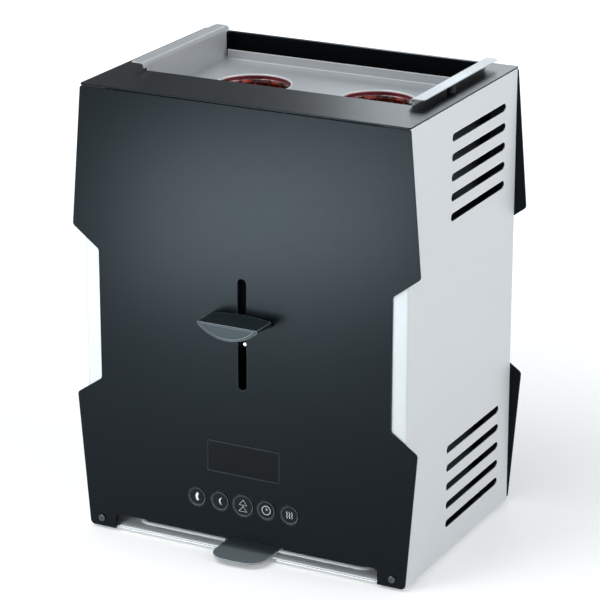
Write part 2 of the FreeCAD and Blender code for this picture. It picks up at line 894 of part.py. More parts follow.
def board_components():
    """The relay, transformer, chip and capacitors on the back of the board."""
    made = [
        board_block(relay_x, component_rise, relay_size),
        board_block(transformer_x, component_rise, transformer_size),
        board_block(chip_x, upper_component_rise, chip_size),
    ]
    z = board_bottom + upper_component_rise + capacitor_radius
    made += [across(capacitor_radius, x, z, board_back, board_back + capacitor_length) for x in capacitor_x]
    return group(made)


def tact_switches():
    """Five push switches on the board, one behind each button."""
    h, z, d = switch_size / 2, button_height, board_depth - switch_body
    made = []
    for x, _, _ in button_places():
        body = box(x - h, x + h, d, board_depth, z - h, z + h)
        made.append(joined([body, across(switch_plunger_radius, x, z, switch_face, d)]))
    return group(made)


def display_module():
    """The display's glass and frame, between the window and the board."""
    w = window_half_width + display_side
    return box(-w, w, display_depth, board_depth, window_bottom, window_top)


def display_window():
    """A smoked clear window set into the panel, with a flange behind it."""
    g, f, w = window_gap, window_flange, window_half_width
    lens = box(-w + g, w - g, window_recess, panel_sheet, window_bottom + g, window_top - g)
    flange = box(-w - f, w + f, panel_sheet, display_depth, window_bottom - f, window_top + f)
    return joined([lens, flange])


def button_guide():
    """The moulded frame that guides the button stems and spaces the board from the panel."""
    w, h, z = guide_half_width, guide_half_height, button_height
    back = guide_depth + guide_sheet
    plate = box(-w, w, guide_depth, back, z - h, z + h)
    posts = [across(guide_post_radius, x, pz, panel_sheet, board_depth) for x, pz in post_places()]
    bore = button_stem_radius + guide_stem_play
    holes = [across(bore, x, z, guide_depth - past, back + past) for x, _, _ in button_places()]
    pilots = [
        across(board_screw_radius, x, pz, board_depth - board_screw_bite, board_depth + past)
        for x, pz in post_places()
    ]
    return less(joined([plate] + posts), holes + pilots)


def screw(x, z, depth, direction, sizes):
    """A pan-head cross screw that is seated at a depth and points backwards (1) or forwards (-1)."""
    radius, length, head_radius, head_height = sizes
    crown = head_height / 2
    profile = [
        (0, depth - direction * head_height),
        (head_radius, depth - direction * head_height),
        (head_radius, depth),
        (radius, depth),
        (radius, depth + direction * length),
        (0, depth + direction * length),
    ]
    whole = turned_across(x, z, profile, [0, crown, 0, 0, 0, 0])
    d0, d1 = sorted((depth - direction * (head_height + past), depth - direction * crown))
    a, b = head_radius / 2, head_radius / 8
    return less(whole, [box(x - a, x + a, d0, d1, z - b, z + b), box(x - b, x + b, d0, d1, z - a, z + a)])


def panel_screws(depth, direction):
    """The two screws at the foot of the front or rear panel."""
    sizes = (screw_radius, panel_screw_length, screw_head_radius, screw_head_height)
    return group([screw(side * panel_screw_x, panel_screw_z, depth, direction, sizes) for side in (-1, 1)])


def board_screws():
    """The four screws that hold the board to its posts."""
    length = board_sheet + board_screw_bite
    sizes = (board_screw_radius, length, board_screw_head_radius, board_screw_head_height)
    return group([screw(x, z, board_back, -1, sizes) for x, z in post_places()])


def cord_gland():
    """The grommet in the rear panel that a mains lead leaves through."""
    inner = body_depth - panel_sheet
    profile = [
        (gland_bore_radius, inner - gland_inside),
        (gland_body_radius - gland_taper, inner - gland_inside),
        (gland_body_radius + gland_barb, inner),
        (gland_body_radius, inner),
        (gland_body_radius, body_depth),
        (gland_lip_radius, body_depth),
        (gland_lip_radius, body_depth + gland_lip),
        (gland_bore_radius, body_depth + gland_lip),
    ]
    return turned_across(gland_x, gland_z, profile, [0, 0, 0, 0, 0, 0, gland_taper, 0])


def terminal_block():
    """The block beside the chamber where the mains lead is joined to the heater circuit."""
    inner = chamber_half_width + chamber_foot_width + terminal_gap
    outer, middle = inner + terminal_width, inner + terminal_width / 2
    d0, z1 = well_depth + terminal_setback, base_top + terminal_height
    block = side_box(-1, inner, outer, d0, d0 + terminal_length, base_top, z1)
    pitch, low = terminal_length / terminal_ways, base_top + terminal_height / 2
    depths = [d0 + pitch * (i + 0.5) for i in range(terminal_ways)]
    return less(block, [upright(terminal_way_radius, -middle, d, low, z1 + past) for d in depths])


def knob_section(depth, crown, tip, height):
    """A cross-section of the lever knob: crowned on top, curved below, with short upright ends."""
    h, z, place = knob_width / 2, knob_top, in_front(depth)
    return Part.Wire([
        Part.Arc(place((-h, z)), place((0, z + crown)), place((h, z))).toShape(),
        Part.LineSegment(place((h, z)), place((h, z - tip))).toShape(),
        Part.Arc(place((h, z - tip)), place((0, z - height)), place((-h, z - tip))).toShape(),
        Part.LineSegment(place((-h, z - tip)), place((-h, z))).toShape(),
    ])


def stem_bar(d0, d1):
    """A stretch of the bar that joins the knob to the carriage."""
    s = stem_width / 2
    return box(-s, s, d0, d1, stem_middle - stem_half, stem_middle + stem_half)


def lever_knob():
    """The finger lever: a shelf that deepens towards its front face, which has a raised rim."""
    front = knob_section(-knob_reach, knob_front_crown, knob_front_tip, knob_front_height)
    root = knob_section(-knob_gap, knob_root_crown, knob_root_tip, knob_root_height)
    h, z = knob_width / 2 - knob_face_end_margin, knob_top - knob_face_margin
    low = knob_top - knob_front_height + knob_face_margin
    place = in_front(-knob_reach - past)
    inlay = Part.Wire([
        Part.LineSegment(place((-h, z)), place((h, z))).toShape(),
        Part.Arc(place((h, z)), place((0, low)), place((-h, z))).toShape(),
    ])
    recess = Part.Face(inlay).extrude(V(0, past + knob_face_recess, 0))
    return less(Part.makeLoft([front, root], True, True), [recess, stem_bar(-stem_socket, 0)])


def lever_stem():
    """The bar that carries the knob through the panel's slot, with a foot on the carriage and a tab."""
    w, d0 = stem_foot_width / 2, carriage_depth - stem_foot_sheet
    foot = box(-w, w, d0, carriage_depth, lever_screw_z - stem_foot_end, stem_middle + stem_foot_rise)
    hole = across(screw_radius, 0, lever_screw_z, d0 - past, carriage_depth + past)
    v, d1, d2 = stem_tab_width / 2, stem_tab_depth, stem_tab_depth + stem_tab_sheet
    tab = box(-v, v, d1, d2, rivet_z - stem_tab_end, stem_middle)
    rivet_hole = across(rivet_radius, 0, rivet_z, d1 - past, d2 + past)
    return less(joined([stem_bar(-stem_socket, carriage_depth), foot, tab]), [hole, rivet_hole])


def stem_rivet():
    """The bright rivet in the stem's tab, seen through the panel's slot under the knob."""
    front, back = stem_tab_depth, stem_tab_depth + stem_tab_sheet
    profile = [
        (0, front - rivet_head_height),
        (rivet_head_radius, front - rivet_head_height),
        (rivet_head_radius, front),
        (rivet_radius, front),
        (rivet_radius, back),
        (rivet_head_radius, back),
        (rivet_head_radius, back + rivet_tail_height),
        (0, back + rivet_tail_height),
    ]
    return turned_across(0, rivet_z, profile, [0, rivet_round, 0, 0, 0, 0, rivet_round, 0])


def lever_screw():
    """The screw that holds the lever stem to the carriage, seen through the panel's slot."""
    length = stem_foot_sheet + 2 * carriage_sheet
    sizes = (screw_radius, length, screw_head_radius, screw_head_height)
    return screw(0, lever_screw_z, carriage_depth - stem_foot_sheet, 1, sizes)


def ear_heights():
    """Heights of the undersides of the carriage's two ears."""
    return [carriage_bottom, carriage_top - carriage_sheet]


def lift_carriage():
    """The sliding plate behind the panel, with ears for the bushes, wings for the arms and a spring peg."""
    w, wing, t, high = carriage_half_width, well_offset + carriage_wing_side, carriage_sheet, carriage_top
    half_wing, bush = carriage_wing_height / 2, rod_radius + rod_play + bush_wall
    d0, d1, d2 = carriage_depth, carriage_back, rod_depth + carriage_ear_end
    pieces = [
        box(-w, w, d0, d1, carriage_bottom, high),
        box(-wing, wing, d0, d1, arm_middle - half_wing, arm_middle + half_wing),
        upright(peg_radius(), 0, spring_depth, high - t, high + spring_peg_length),
    ]
    holes = [across(screw_radius, 0, lever_screw_z, d0 - past, d1 + past)]
    for z in ear_heights():
        pieces.append(box(-w, w, d0, d2, z, z + t))
        holes += [upright(bush, side * rod_x, rod_depth, z - past, z + t + past) for side in (-1, 1)]
    return less(joined(pieces), holes)


def carriage_bushes():
    """Four flanged bushes that run on the guide rods."""
    bore = rod_radius + rod_play
    sleeve = bore + bush_wall
    made = []
    for z in ear_heights():
        end = z + carriage_sheet + bush_end
        profile = [
            (bore, z - bush_flange),
            (sleeve + bush_flange_reach, z - bush_flange),
            (sleeve + bush_flange_reach, z),
            (sleeve, z),
            (sleeve, end),
            (bore, end),
        ]
        made += [turned_upright(side * rod_x, rod_depth, profile, 0) for side in (-1, 1)]
    return group(made)


def armature_plate():
    """The iron plate under the carriage that the magnet holds while the sausages cook."""
    a, b, d = armature_half_width, armature_half_depth, magnet_depth
    return box(-a, a, d - b, d + b, carriage_bottom - armature_sheet, carriage_bottom)


def lift_arm(side):
    """A blade from the carriage through the chamber's front wall into a cage, with a riveted tab."""
    t, x, low, high = arm_sheet / 2, well_offset, arm_bottom, arm_top
    d0, d1 = carriage_back, carriage_back + arm_sheet
    blade = side_box(side, x - t, x + t, d0, well_depth + arm_end, low, high)
    tab = side_box(side, x - t - arm_tab, x - t, d0, d1, low, high)
    rivet_x = side * (x - t - arm_tab / 2)
    rivet = across(arm_rivet_radius, rivet_x, arm_middle, d1, d1 + arm_rivet_head)
    return joined([blade, tab, rivet])


def sausage_rest(side):
    """A round dish on the end of a lift arm that the sausage stands in, with holes for the fat to drain."""
    x, low, floor, rim = side * well_offset, arm_top, arm_top + rest_sheet, arm_top + rest_sheet + rest_rim
    outer, inner = rest_radius, rest_radius - rest_sheet
    profile = [(0, low), (outer, low), (outer, rim), (inner, rim), (inner, floor), (0, floor)]
    dish = turned_upright(x, well_depth, profile, [0, rest_sheet, 0, 0, 0, 0])
    drains = []
    for i in range(rest_drain_count):
        a = 2 * math.pi * (i + 0.5) / rest_drain_count
        dx, dd = rest_drain_circle * math.cos(a), rest_drain_circle * math.sin(a)
        drains.append(upright(rest_drain_radius, x + dx, well_depth + dd, low - past, floor + past))
    return less(dish, drains)


def insert_tray():
    """The lift-out tray, folded from one sheet: a floor with two holes, low lips and tall handles."""
    w, t = insert_half_width, insert_sheet
    wide, inner = w + insert_handle_width, insert_half_width - insert_lip_inset
    d0, d1 = well_depth - insert_half_handle, well_depth + insert_half_handle
    left = [(-wide, handle_underside), (-w, handle_underside), (-w, floor_underside)]
    right = [(-x, z) for x, z in reversed(left)]
    trough = folded_sheet(left + right, t, insert_bend, in_front(d0), V(0, d1 - d0, 0))
    handle_top = handle_underside + t
    trough = trough.common(plan_prism(wide, d0, d1, insert_handle_corner, floor_underside, handle_top))
    wall_top = handle_underside - insert_bend - insert_relief
    cuts, lips = [], []
    for end in (-1, 1):
        outer = well_depth + end * (insert_half_handle + past)
        wall, floor = well_depth + end * insert_half_wall, well_depth + end * insert_half_floor
        low, high = sorted((wall, outer))
        cuts.append(box(-w - past, w + past, low, high, floor_underside - past, wall_top))
        low, high = sorted((floor, outer))
        cuts.append(box(-inner, inner, low, high, floor_underside - past, floor_top + past))
        low, high = sorted((floor, floor - end * t))
        lips.append(box(-inner, inner, low, high, floor_underside, floor_top + insert_lip))
    radius = well_radius + collar_sheet
    low, high = floor_underside - past, floor_top + past
    holes = [upright(radius, side * well_offset, well_depth, low, high) for side in (-1, 1)]
    return less(joined([less(trough, cuts)] + lips), holes)


def well_collars():
    """The necks of the two wells, set into the insert's floor; the cages hang from them."""
    inner, outer = well_radius, well_radius + collar_sheet
    profile = [(inner, cage_top), (outer, cage_top), (outer, floor_top), (inner, floor_top)]
    radii = [0, 0, 0, collar_round]
    return group([turned_upright(side * well_offset, well_depth, profile, radii) for side in (-1, 1)])


def cage_ring(x, z, gap):
    """A flat hoop of a cage; gap is the angle left open at the front for the lift arm."""
    half = math.radians(gap / 2)
    centre, outward, up = V(x, at(well_depth), 0), V(math.sin(half), -math.cos(half), 0), V(0, 0, 1)
    corners = [(0, 0), (cage_ring_width, 0), (cage_ring_width, cage_ring_height), (0, cage_ring_height)]
    section = outline(corners, 0, lambda p: centre + outward * (ring_inner + p[0]) + up * (z + p[1]))
    return Part.Face(section).revolve(centre, up, 360 - gap)


def cage_rings(side):
    """The four hoops of a cage: two whole ones at the top, and two below that are open at the front."""
    x = side * well_offset
    return group([
        cage_ring(x, cage_top, 0),
        cage_ring(x, cage_upper_ring_z, 0),
        cage_ring(x, cage_lower_ring_z, cage_gap_angle),
        cage_ring(x, cage_bottom, cage_gap_angle),
    ])


def cage_wires(side):
    """The upright wires of a cage, spread round all but its open front."""
    first = cage_gap_angle / 2 + cage_wire_inset
    step = (360 - 2 * first) / (cage_wire_count - 1)
    wires = []
    for i in range(cage_wire_count):
        a = math.radians(first + step * i - 90)
        x, d = side * well_offset + wire_circle * math.cos(a), well_depth + wire_circle * math.sin(a)
        wires.append(upright(cage_wire_radius, x, d, cage_bottom, cage_top + cage_ring_height))
    return group(wires)


def bead_rod(radius, side):
    """A rod along the tray's front that turns back at the tray's corner, half sunk in its floor."""
    x0, x1 = notch_half_width - past, tray_half_width - bead_radius
    end = (x1, tray_wall_depth + bead_end)
    start, middle, turned = rounded_corner((x0, bead_depth), (x1, bead_depth), end, bead_corner)
    place = in_plan(tray_floor_bottom)
    spine = Part.Wire([
        Part.LineSegment(place((x0, bead_depth)), place(start)).toShape(),
        Part.Arc(place(start), place(middle), place(turned)).toShape(),
        Part.LineSegment(place(turned), place(end)).toShape(),
    ])
    circle = Part.Wire(Part.makeCircle(radius, place((x0, bead_depth)), V(1, 0, 0)))
    return mirrored(spine.makePipeShell([circle], True, False), side)


def drip_tray():
    """The drip tray: a flat apron at the front, a pressed bead that dams the pan, and walls behind it."""
    w, t, low = tray_half_width, tray_sheet, tray_floor_bottom
    f, r, wall, c = tray_front_depth, tray_rear_depth, tray_wall_depth, tray_corner
    apron = plan_prism(apron_half_width, f, apron_rear_depth, apron_corner, low, tray_floor_top)
    walls = plan_prism(w, wall, r, [0, 0, c, c], low, tray_top)
    hollow = plan_prism(w - t, f, r - t, [0, 0, c - t, c - t], tray_floor_top, tray_top + past)
    ridges = [bead_rod(bead_radius, side) for side in (-1, 1)]
    grooves = [bead_rod(bead_radius - t, side) for side in (-1, 1)]
    below = box(-w, w, f, r, low - bead_radius - past, low)
    notch = box(-notch_half_width, notch_half_width, f - past, tongue_notch_depth, low - past, tray_top)
    return less(joined([apron, less(walls, [hollow])] + ridges), grooves + [below, notch])


def tray_tongue():
    """The finger tongue that pulls the tray out, welded to its floor and passing over the notch."""
    c, low, high = tongue_corner, tray_floor_top, tray_floor_top + tongue_sheet
    back = tongue_notch_depth + tongue_weld
    return plan_prism(tongue_half_width, -tongue_reach, back, [c, c, 0, 0], low, high)


def push_button(x, radius):
    """A round button: a dished cap, a flange that holds it behind the panel, and a stem to its switch."""
    face, rim, back = -button_proud, radius - button_rim, button_seat + button_flange_sheet
    profile = [
        (0, face + button_dish),
        (rim, face + button_dish),
        (rim + button_dish, face),
        (radius, face),
        (radius, button_seat),
        (radius + button_flange, button_seat),
        (radius + button_flange, back),
        (button_stem_radius, back),
        (button_stem_radius, button_tip_depth),
        (0, button_tip_depth),
    ]
    return turned_across(x, button_height, profile, [0, 0, 0, button_round, 0, 0, 0, 0, 0, 0])


def single_parts():
    """The nodes that occur once, each with its shape."""
    return {
        "base_plate": base_plate(),
        "rubber_feet": rubber_feet(),
        "front_panel": front_panel(),
        "rear_panel": rear_panel(),
        "top_plate": top_plate(),
        "opening_frame": opening_frame(),
        "handle_bumpers": handle_bumpers(),
        "chamber_wrap": chamber_wrap(),
        "chamber_front": chamber_front(),
        "upper_rod_bracket": upper_rod_bracket(),
        "lower_rod_bracket": lower_rod_bracket(),
        "spring_anchor": spring_anchor(),
        "guide_rods": guide_rods(),
        "lift_spring": lift_spring(),
        "magnet_coil": magnet_coil(),
        "magnet_core": magnet_core(),
        "control_board": control_board(),
        "board_components": board_components(),
        "tact_switches": tact_switches(),
        "display_module": display_module(),
        "display_window": display_window(),
        "button_guide": button_guide(),
        "board_screws": board_screws(),
        "front_panel_screws": panel_screws(0, 1),
        "rear_panel_screws": panel_screws(body_depth, -1),
        "cord_gland": cord_gland(),
        "terminal_block": terminal_block(),
        "tray_guides": tray_guides(),
        "lever_knob": lever_knob(),
        "lever_stem": lever_stem(),
        "stem_rivet": stem_rivet(),
        "lever_screw": lever_screw(),
        "lift_carriage": lift_carriage(),
        "carriage_bushes": carriage_bushes(),
        "armature_plate": armature_plate(),
        "insert_tray": insert_tray(),
        "well_collars": well_collars(),
        "drip_tray": drip_tray(),
        "tray_tongue": tray_tongue(),
    }


def repeated_parts():
    """The nodes that come in twos, threes and fives, each with its shape."""
    parts = {}
    for x, name in card_places():
        parts[name + "_heater_card"] = heater_card(x)
        parts[name + "_heater_winding"] = heater_winding(x)
    for side, name in ((-1, "left"), (1, "right")):
        parts[name + "_side_panel"] = side_panel(side)
        parts[name + "_lift_arm"] = lift_arm(side)
        parts[name + "_sausage_rest"] = sausage_rest(side)
        parts[name + "_cage_rings"] = cage_rings(side)
        parts[name + "_cage_wires"] = cage_wires(side)
    for x, radius, name in button_places():
        parts[name] = push_button(x, radius)
    return parts


def main():
    """Writes one STEP file for each node."""
    os.makedirs("parts", exist_ok=True)
    for name, shape in (single_parts() | repeated_parts()).items():
        shape.exportStep(os.path.join("parts", name + ".step"))


main()
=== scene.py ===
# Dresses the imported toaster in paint, brushed steel and moulded plastic, prints the symbols on its
# buttons, and sets it on a pale studio floor. Metres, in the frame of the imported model.
import math

import bpy
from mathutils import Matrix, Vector


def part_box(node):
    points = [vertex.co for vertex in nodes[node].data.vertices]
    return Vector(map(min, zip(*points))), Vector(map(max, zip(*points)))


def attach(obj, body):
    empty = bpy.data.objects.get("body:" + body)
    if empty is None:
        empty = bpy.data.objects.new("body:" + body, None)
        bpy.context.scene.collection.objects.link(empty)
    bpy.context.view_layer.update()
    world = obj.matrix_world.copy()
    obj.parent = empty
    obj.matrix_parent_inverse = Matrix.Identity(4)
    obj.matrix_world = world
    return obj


bl_info = {
    "name": "Hot Dog Toaster",
    "version": (1, 0, 0),
    "blender": (4, 5, 0),
    "location": "View3D > Sidebar > Toaster",
    "description": "Dresses the packed toaster and sets it on a studio floor",
    "category": "Object",
}

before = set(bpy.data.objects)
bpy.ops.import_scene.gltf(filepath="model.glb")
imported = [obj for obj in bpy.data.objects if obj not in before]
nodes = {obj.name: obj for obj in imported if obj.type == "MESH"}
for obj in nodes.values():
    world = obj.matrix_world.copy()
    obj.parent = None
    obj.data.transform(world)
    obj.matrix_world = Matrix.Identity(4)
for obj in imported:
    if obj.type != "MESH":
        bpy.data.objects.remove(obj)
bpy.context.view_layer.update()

button_names = [
    "thick_sausage_button",
    "thin_sausage_button",
    "start_button",
    "timer_button",
    "defrost_button",
]
heater_sides = ["left", "centre", "right"]

# The range that a noise pattern mostly keeps to
noise_low = 0.3
noise_high = 0.7

# Painted edge highlights: how many samples find the edges, and the cosines between the face and its rounded
# edge at which the painted highlight starts and is full
edge_samples = 6
edge_start = 0.99
edge_full = 0.92

# Painted edge highlights round the controls: how high their centre is against the middle of the front panel,
# how far they reach in shares of the panel's height, and where they end against that reach
controls_height = 0.8
highlight_reach = 0.34
highlight_end = 1.15

# Y times the normal's Y is below this only on faces that look at the toaster's middle from the ends of its
# depth, such as the inner face of a flange
inner_face = -0.07

# Scratches of the steels and turns of the copper coil, as noise scales per metre along X, Y and Z
side_scratches = (30.0, 30.0, 2600.0)
base_scratches = (30.0, 2200.0, 2200.0)
insert_scratches = (1800.0, 26.0, 1800.0)
tray_scratches = (24.0, 2000.0, 2000.0)
coil_turns = (40.0, 40.0, 2600.0)

# Reach of the painted highlights along the rims of the lever knob and the tongue
knob_highlight_reach = 0.0006
tongue_highlight_reach = 0.0005

# Bowed strokes: half of the arc's turn in degrees, how much the ends thin out, how far an end is from the
# middle in shares of the symbol's height, and where the arc is centred in shares of its radius
thick_half_turn = 45.0
thick_taper = 0.2
thin_half_turn = 65.0
thin_taper = 0.8
bow_reach = 0.42
bow_centre = 0.9

# The other symbols, in shares of a symbol's height, and the clock's hands in shares of its radius
triangle_half = 0.48
triangle_height = 0.6
triangle_bases = (-0.68, 0.06)
clock_radius = 0.5
long_hand = 0.62
short_hand = (0.45, 0.3)
wave_pitch = 0.3
wave_sway = 0.07
wave_height = 0.8

# How many points a stroke and a clock face have, and how many steps a wave has
bow_points = 9
clock_points = 24
wave_steps = 8

# The dished face of a button cap: how far it reaches in shares of the cap's width, and no deeper than this
dish_share = 0.45
dish_limit = 0.0006

# Corners of the floor disc, and the camera's sensor in millimetres
floor_corners = 64
sensor_width = 36.0


def colour_property(name, description, default):
    """A colour that a user can change."""
    return bpy.props.FloatVectorProperty(
        name=name, description=description, subtype="COLOR", size=3, min=0.0, max=1.0, default=default
    )


def length_property(name, description, default):
    """A length that a user can change."""
    return bpy.props.FloatProperty(
        name=name, description=description, default=default, min=0.0, unit="LENGTH", precision=5
    )


def factor_property(name, description, default):
    """A share from nothing to all that a user can change."""
    return bpy.props.FloatProperty(
        name=name, description=description, subtype="FACTOR", default=default, min=0.0, max=1.0
    )


def place_property(name, description, default):
    """A point that a user can change."""
    return bpy.props.FloatVectorProperty(
        name=name, description=description, subtype="TRANSLATION", size=3, default=default
    )


def angle_property(name, description, degrees):
    """An angle that a user can change."""
    return bpy.props.FloatProperty(
        name=name, description=description, subtype="ANGLE", default=math.radians(degrees)
    )


def strength_property(name, description, default):
    """A lamp's watts, a glow or a focal length, none of them below nothing."""
    return bpy.props.FloatProperty(name=name, description=description, default=default, min=0.0)


def width_and_height_property(name, description, default):
    """The width and height of a lamp that a user can change."""
    return bpy.props.FloatVectorProperty(
        name=name, description=description, size=2, min=0.0, unit="LENGTH", default=default
    )


class ToasterFinishes(bpy.types.PropertyGroup):
    """Colours and gloss of the toaster's finishes"""

    paint: colour_property(
        "Panel paint", "Anthracite coat of the front, rear and top", (0.0025, 0.0045, 0.0062)
    )
    paint_roughness: factor_property("Paint roughness", "How matt the anthracite coat is", 0.29)
    frame_coat: colour_property("Frame coat", "Dull coat of the frame in the opening", (0.002, 0.003, 0.004))
    side_steel: colour_property("Side steel", "Brushed steel of the two sides", (0.63, 0.655, 0.67))
    side_roughness: factor_property("Side roughness", "How matt the brushed sides are", 0.5)
    insert_steel: colour_property("Insert steel", "Rolled steel of the lift-out insert", (0.51, 0.53, 0.55))
    # The wells' wine red is painted glow: it stands in for the heaters' light on the collars, with random
    # heat stains over it.
    well_steel: colour_property("Well steel", "Heat-stained steel inside the wells", (0.16, 0.018, 0.026))
    cage_wire: colour_property("Cage wire", "Browned wires of the cages", (0.30, 0.27, 0.26))
    cage_ring: colour_property("Cage ring", "Bright hoops of the cages", (0.86, 0.86, 0.86))
    tray_steel: colour_property("Tray steel", "Bright steel of the drip tray", (0.78, 0.80, 0.81))
    tongue: colour_property(
        "Tray tongue", "Grey coat of the tongue that pulls the tray", (0.125, 0.150, 0.160)
    )
    plated_steel: colour_property("Plated steel", "Zinc-plated steel of the inner parts", (0.34, 0.35, 0.36))
    # The chamber's dark colour is painted shade, picked so the vents look black; the heat stains over it are
    # random. It is also laid on the inner faces of the side flanges as painted shade.
    chamber_steel: colour_property(
        "Chamber steel", "Dark heat-stained steel of the heating chamber", (0.035, 0.043, 0.050)
    )
    lever: colour_property("Lever", "Dark grey coat of the lever knob", (0.016, 0.024, 0.027))
    # The lever edge colour is a painted highlight along the knob's rim.
    lever_highlight: colour_property("Lever edge", "Rubbed rim of the lever knob", (0.34, 0.38, 0.38))
    lever_stem: colour_property("Lever stem", "Blackened steel of the lever's stem", (0.010, 0.012, 0.014))
    bright_screw: colour_property("Bright screw", "Lever screw and stem rivet", (0.72, 0.73, 0.74))
    panel_screw: colour_property("Panel screw", "Dark screws of the panels and board", (0.10, 0.11, 0.12))
    bronze: colour_property("Bronze", "Bushes of the carriage", (0.45, 0.28, 0.12))
    copper: colour_property("Copper", "Winding of the magnet's coil", (0.42, 0.16, 0.06))
    rubber: colour_property("Rubber", "Feet, bumpers and cord grommet", (0.012, 0.012, 0.013))
    mica: colour_property("Mica", "Sheets that carry the heater ribbons", (0.16, 0.11, 0.07))
    ribbon: colour_property("Ribbon", "Heater ribbons under their glow", (0.16, 0.05, 0.03))
    glow: colour_property("Heater glow", "Colour of the hot heater ribbons", (1.0, 0.09, 0.05))
    glow_strength: strength_property("Glow strength", "How brightly the heater ribbons glow", 6.0)
    buttons: colour_property("Buttons", "Black plastic of the button caps", (0.003, 0.0055, 0.0072))
    # The button edge colour is a painted highlight along the rims of the caps.
    button_highlight: colour_property(
        "Button edge", "Rims of the button caps, polished by use", (0.30, 0.34, 0.36)
    )
    dark_plastic: colour_property("Dark plastic", "Mouldings behind the panel", (0.014, 0.014, 0.016))
    board: colour_property("Board", "Green circuit board", (0.01, 0.055, 0.025))
    window: colour_property("Display window", "Smoked plastic over the dark display", (0.003, 0.005, 0.0065))
    symbols: colour_property("Symbols", "Print on the button caps", (0.85, 0.87, 0.89))
    edge_round: length_property("Edge rounding", "Radius that sheet edges catch the light with", 0.0004)
    # Fold rounding and the bright edge colour give a painted highlight along steel edges and folds, round
    # the tongue and on the well rims.
    fold_round: length_property(
        "Fold rounding", "Reach of the bright line along the edges and folds of bare steel", 0.0012
    )
    bright_highlight: colour_property("Bright edge", "Bare steel along its edges and folds", (0.90, 0.93, 0.95))
    # The paint edge colour is a painted highlight along the coats' edges near the controls and round the
    # display window.
    paint_highlight: colour_property(
        "Paint edge", "Anthracite coat where an edge makes it thin", (0.11, 0.135, 0.15)
    )
    sheen: colour_property("Sheen", "Cool cast of the light that the coats throw back", (0.78, 0.92, 1.0))


class ToasterSymbols(bpy.types.PropertyGroup):
    """Sizes of the symbols printed on the buttons"""

    line: length_property("Line width", "Width of the printed lines", 0.0005)
    thick: length_property("Thick stroke", "Width of the stroke on the first button", 0.0024)
    thin: length_property("Thin stroke", "Width of the stroke on the second button", 0.0012)
    size: length_property("Symbol size", "Height of a symbol on a small button", 0.0068)
    lift: length_property("Print height", "How far the print stands off its cap", 0.00006)


class ToasterStage(bpy.types.PropertyGroup):
    """Camera, lamps and floor around the toaster"""

    azimuth: angle_property("Azimuth", "Camera turn to the right of the front", 27.12)
    elevation: angle_property("Elevation", "Camera height angle", 19.28)
    distance: length_property("Distance", "From the camera to the point it looks at", 1.982)
    aim: place_property("Aim", "Point the camera looks at", (0.0467, -0.084, 0.2093))
    lens: strength_property("Focal length", "Camera lens in millimetres", 168.37)
    sight: length_property("Sight", "How far the camera sees", 50.0)
    top_place: place_property("Top lamp", "Where the lamp above hangs", (-0.6, -0.7, 1.6))
    top_aim: place_property("Top aim", "Point the lamp above faces", (0.0, 0.0, 0.2))
    top_size: width_and_height_property("Top size", "Size of the lamp above", (1.2, 1.2))
    top_power: strength_property("Top power", "Lamp above, in watts", 14.2)
    top_colour: colour_property("Top colour", "Light of the lamp above", (1.0, 1.0, 1.0))
    side_place: place_property("Side lamp", "Where the lamp at the right hangs", (1.9, 0.0, 0.7))
    side_aim: place_property("Side aim", "Point the lamp at the right faces", (0.1, 0.0, 0.18))
    side_size: width_and_height_property("Side size", "Size of the lamp at the right", (1.0, 1.0))
    side_power: strength_property("Side power", "Lamp at the right, in watts", 17.8)
    side_colour: colour_property("Side colour", "Light of the lamp at the right", (1.0, 1.0, 1.0))
    front_place: place_property("Front lamp", "Where the low lamp in front stands", (-0.21, -0.55, 0.11))
    front_aim: place_property("Front aim", "Point the low lamp in front faces", (0.02, -0.084, 0.27))
    front_size: width_and_height_property("Front size", "Size of the low lamp in front", (0.26, 0.14))
    front_power: strength_property("Front power", "Low lamp in front, in watts", 1.8)
    front_colour: colour_property("Front colour", "Light of the low lamp in front", (0.88, 0.955, 1.0))
    back_place: place_property("Back lamp", "Where the lamp behind hangs", (-0.40, 1.5, 0.8))
    back_aim: place_property("Back aim", "Point the lamp behind faces", (0.1, 0.0, 0.33))
    back_size: width_and_height_property("Back size", "Size of the lamp behind", (0.52, 0.6))
    back_power: strength_property("Back power", "Lamp behind, in watts", 3.4)
    back_colour: colour_property("Back colour", "Light of the lamp behind", (0.88, 0.955, 1.0))
    sky: factor_property("Sky light", "How strongly the surroundings light matt surfaces", 0.55)
    sky_colour: colour_property("Sky colour", "Light of the surroundings", (0.92, 0.97, 1.0))
    sky_top: factor_property(
        "Sky top", "How bright the sky looks overhead, against white at the horizon", 0.18
    )
    fade_start: factor_property("Fade start", "Height in the sky where its white starts to fade", 0.05)
    fade_end: factor_property("Fade end", "Height in the sky where it is as dark as overhead", 0.20)
    floor_radius: length_property("Floor radius", "Radius of the floor disc", 9.0)
    floor_colour: colour_property("Floor", "Colour of the pale floor", (0.86, 0.86, 0.86))
    floor_lift: factor_property(
        "Floor lift", "White added near the toaster to the floor as it is seen", 0.19
    )
    far_lift: factor_property("Far lift", "White added further out, where the lamps reach less", 0.55)
    fill_start: length_property("Fill start", "Where the added white starts to grow", 0.35)
    fill_end: length_property("Fill end", "Where the added white is full", 1.6)
    bounce: factor_property(
        "Floor bounce", "Share of its colour with which the floor lights the toaster", 0.5
    )


def opaque(colour):
    """A colour with full alpha, as a socket takes it."""
    return (*colour, 1.0)


def mapped(tree, value, start=0.0, end=1.0, low=0.0, high=1.0):
    """A node that maps a value from one range to another and stops at its ends."""
    node = tree.nodes.new("ShaderNodeMapRange")
    for socket, number in (("From Min", start), ("From Max", end), ("To Min", low), ("To Max", high)):
        node.inputs[socket].default_value = number
    tree.links.new(value, node.inputs["Value"])
    return node


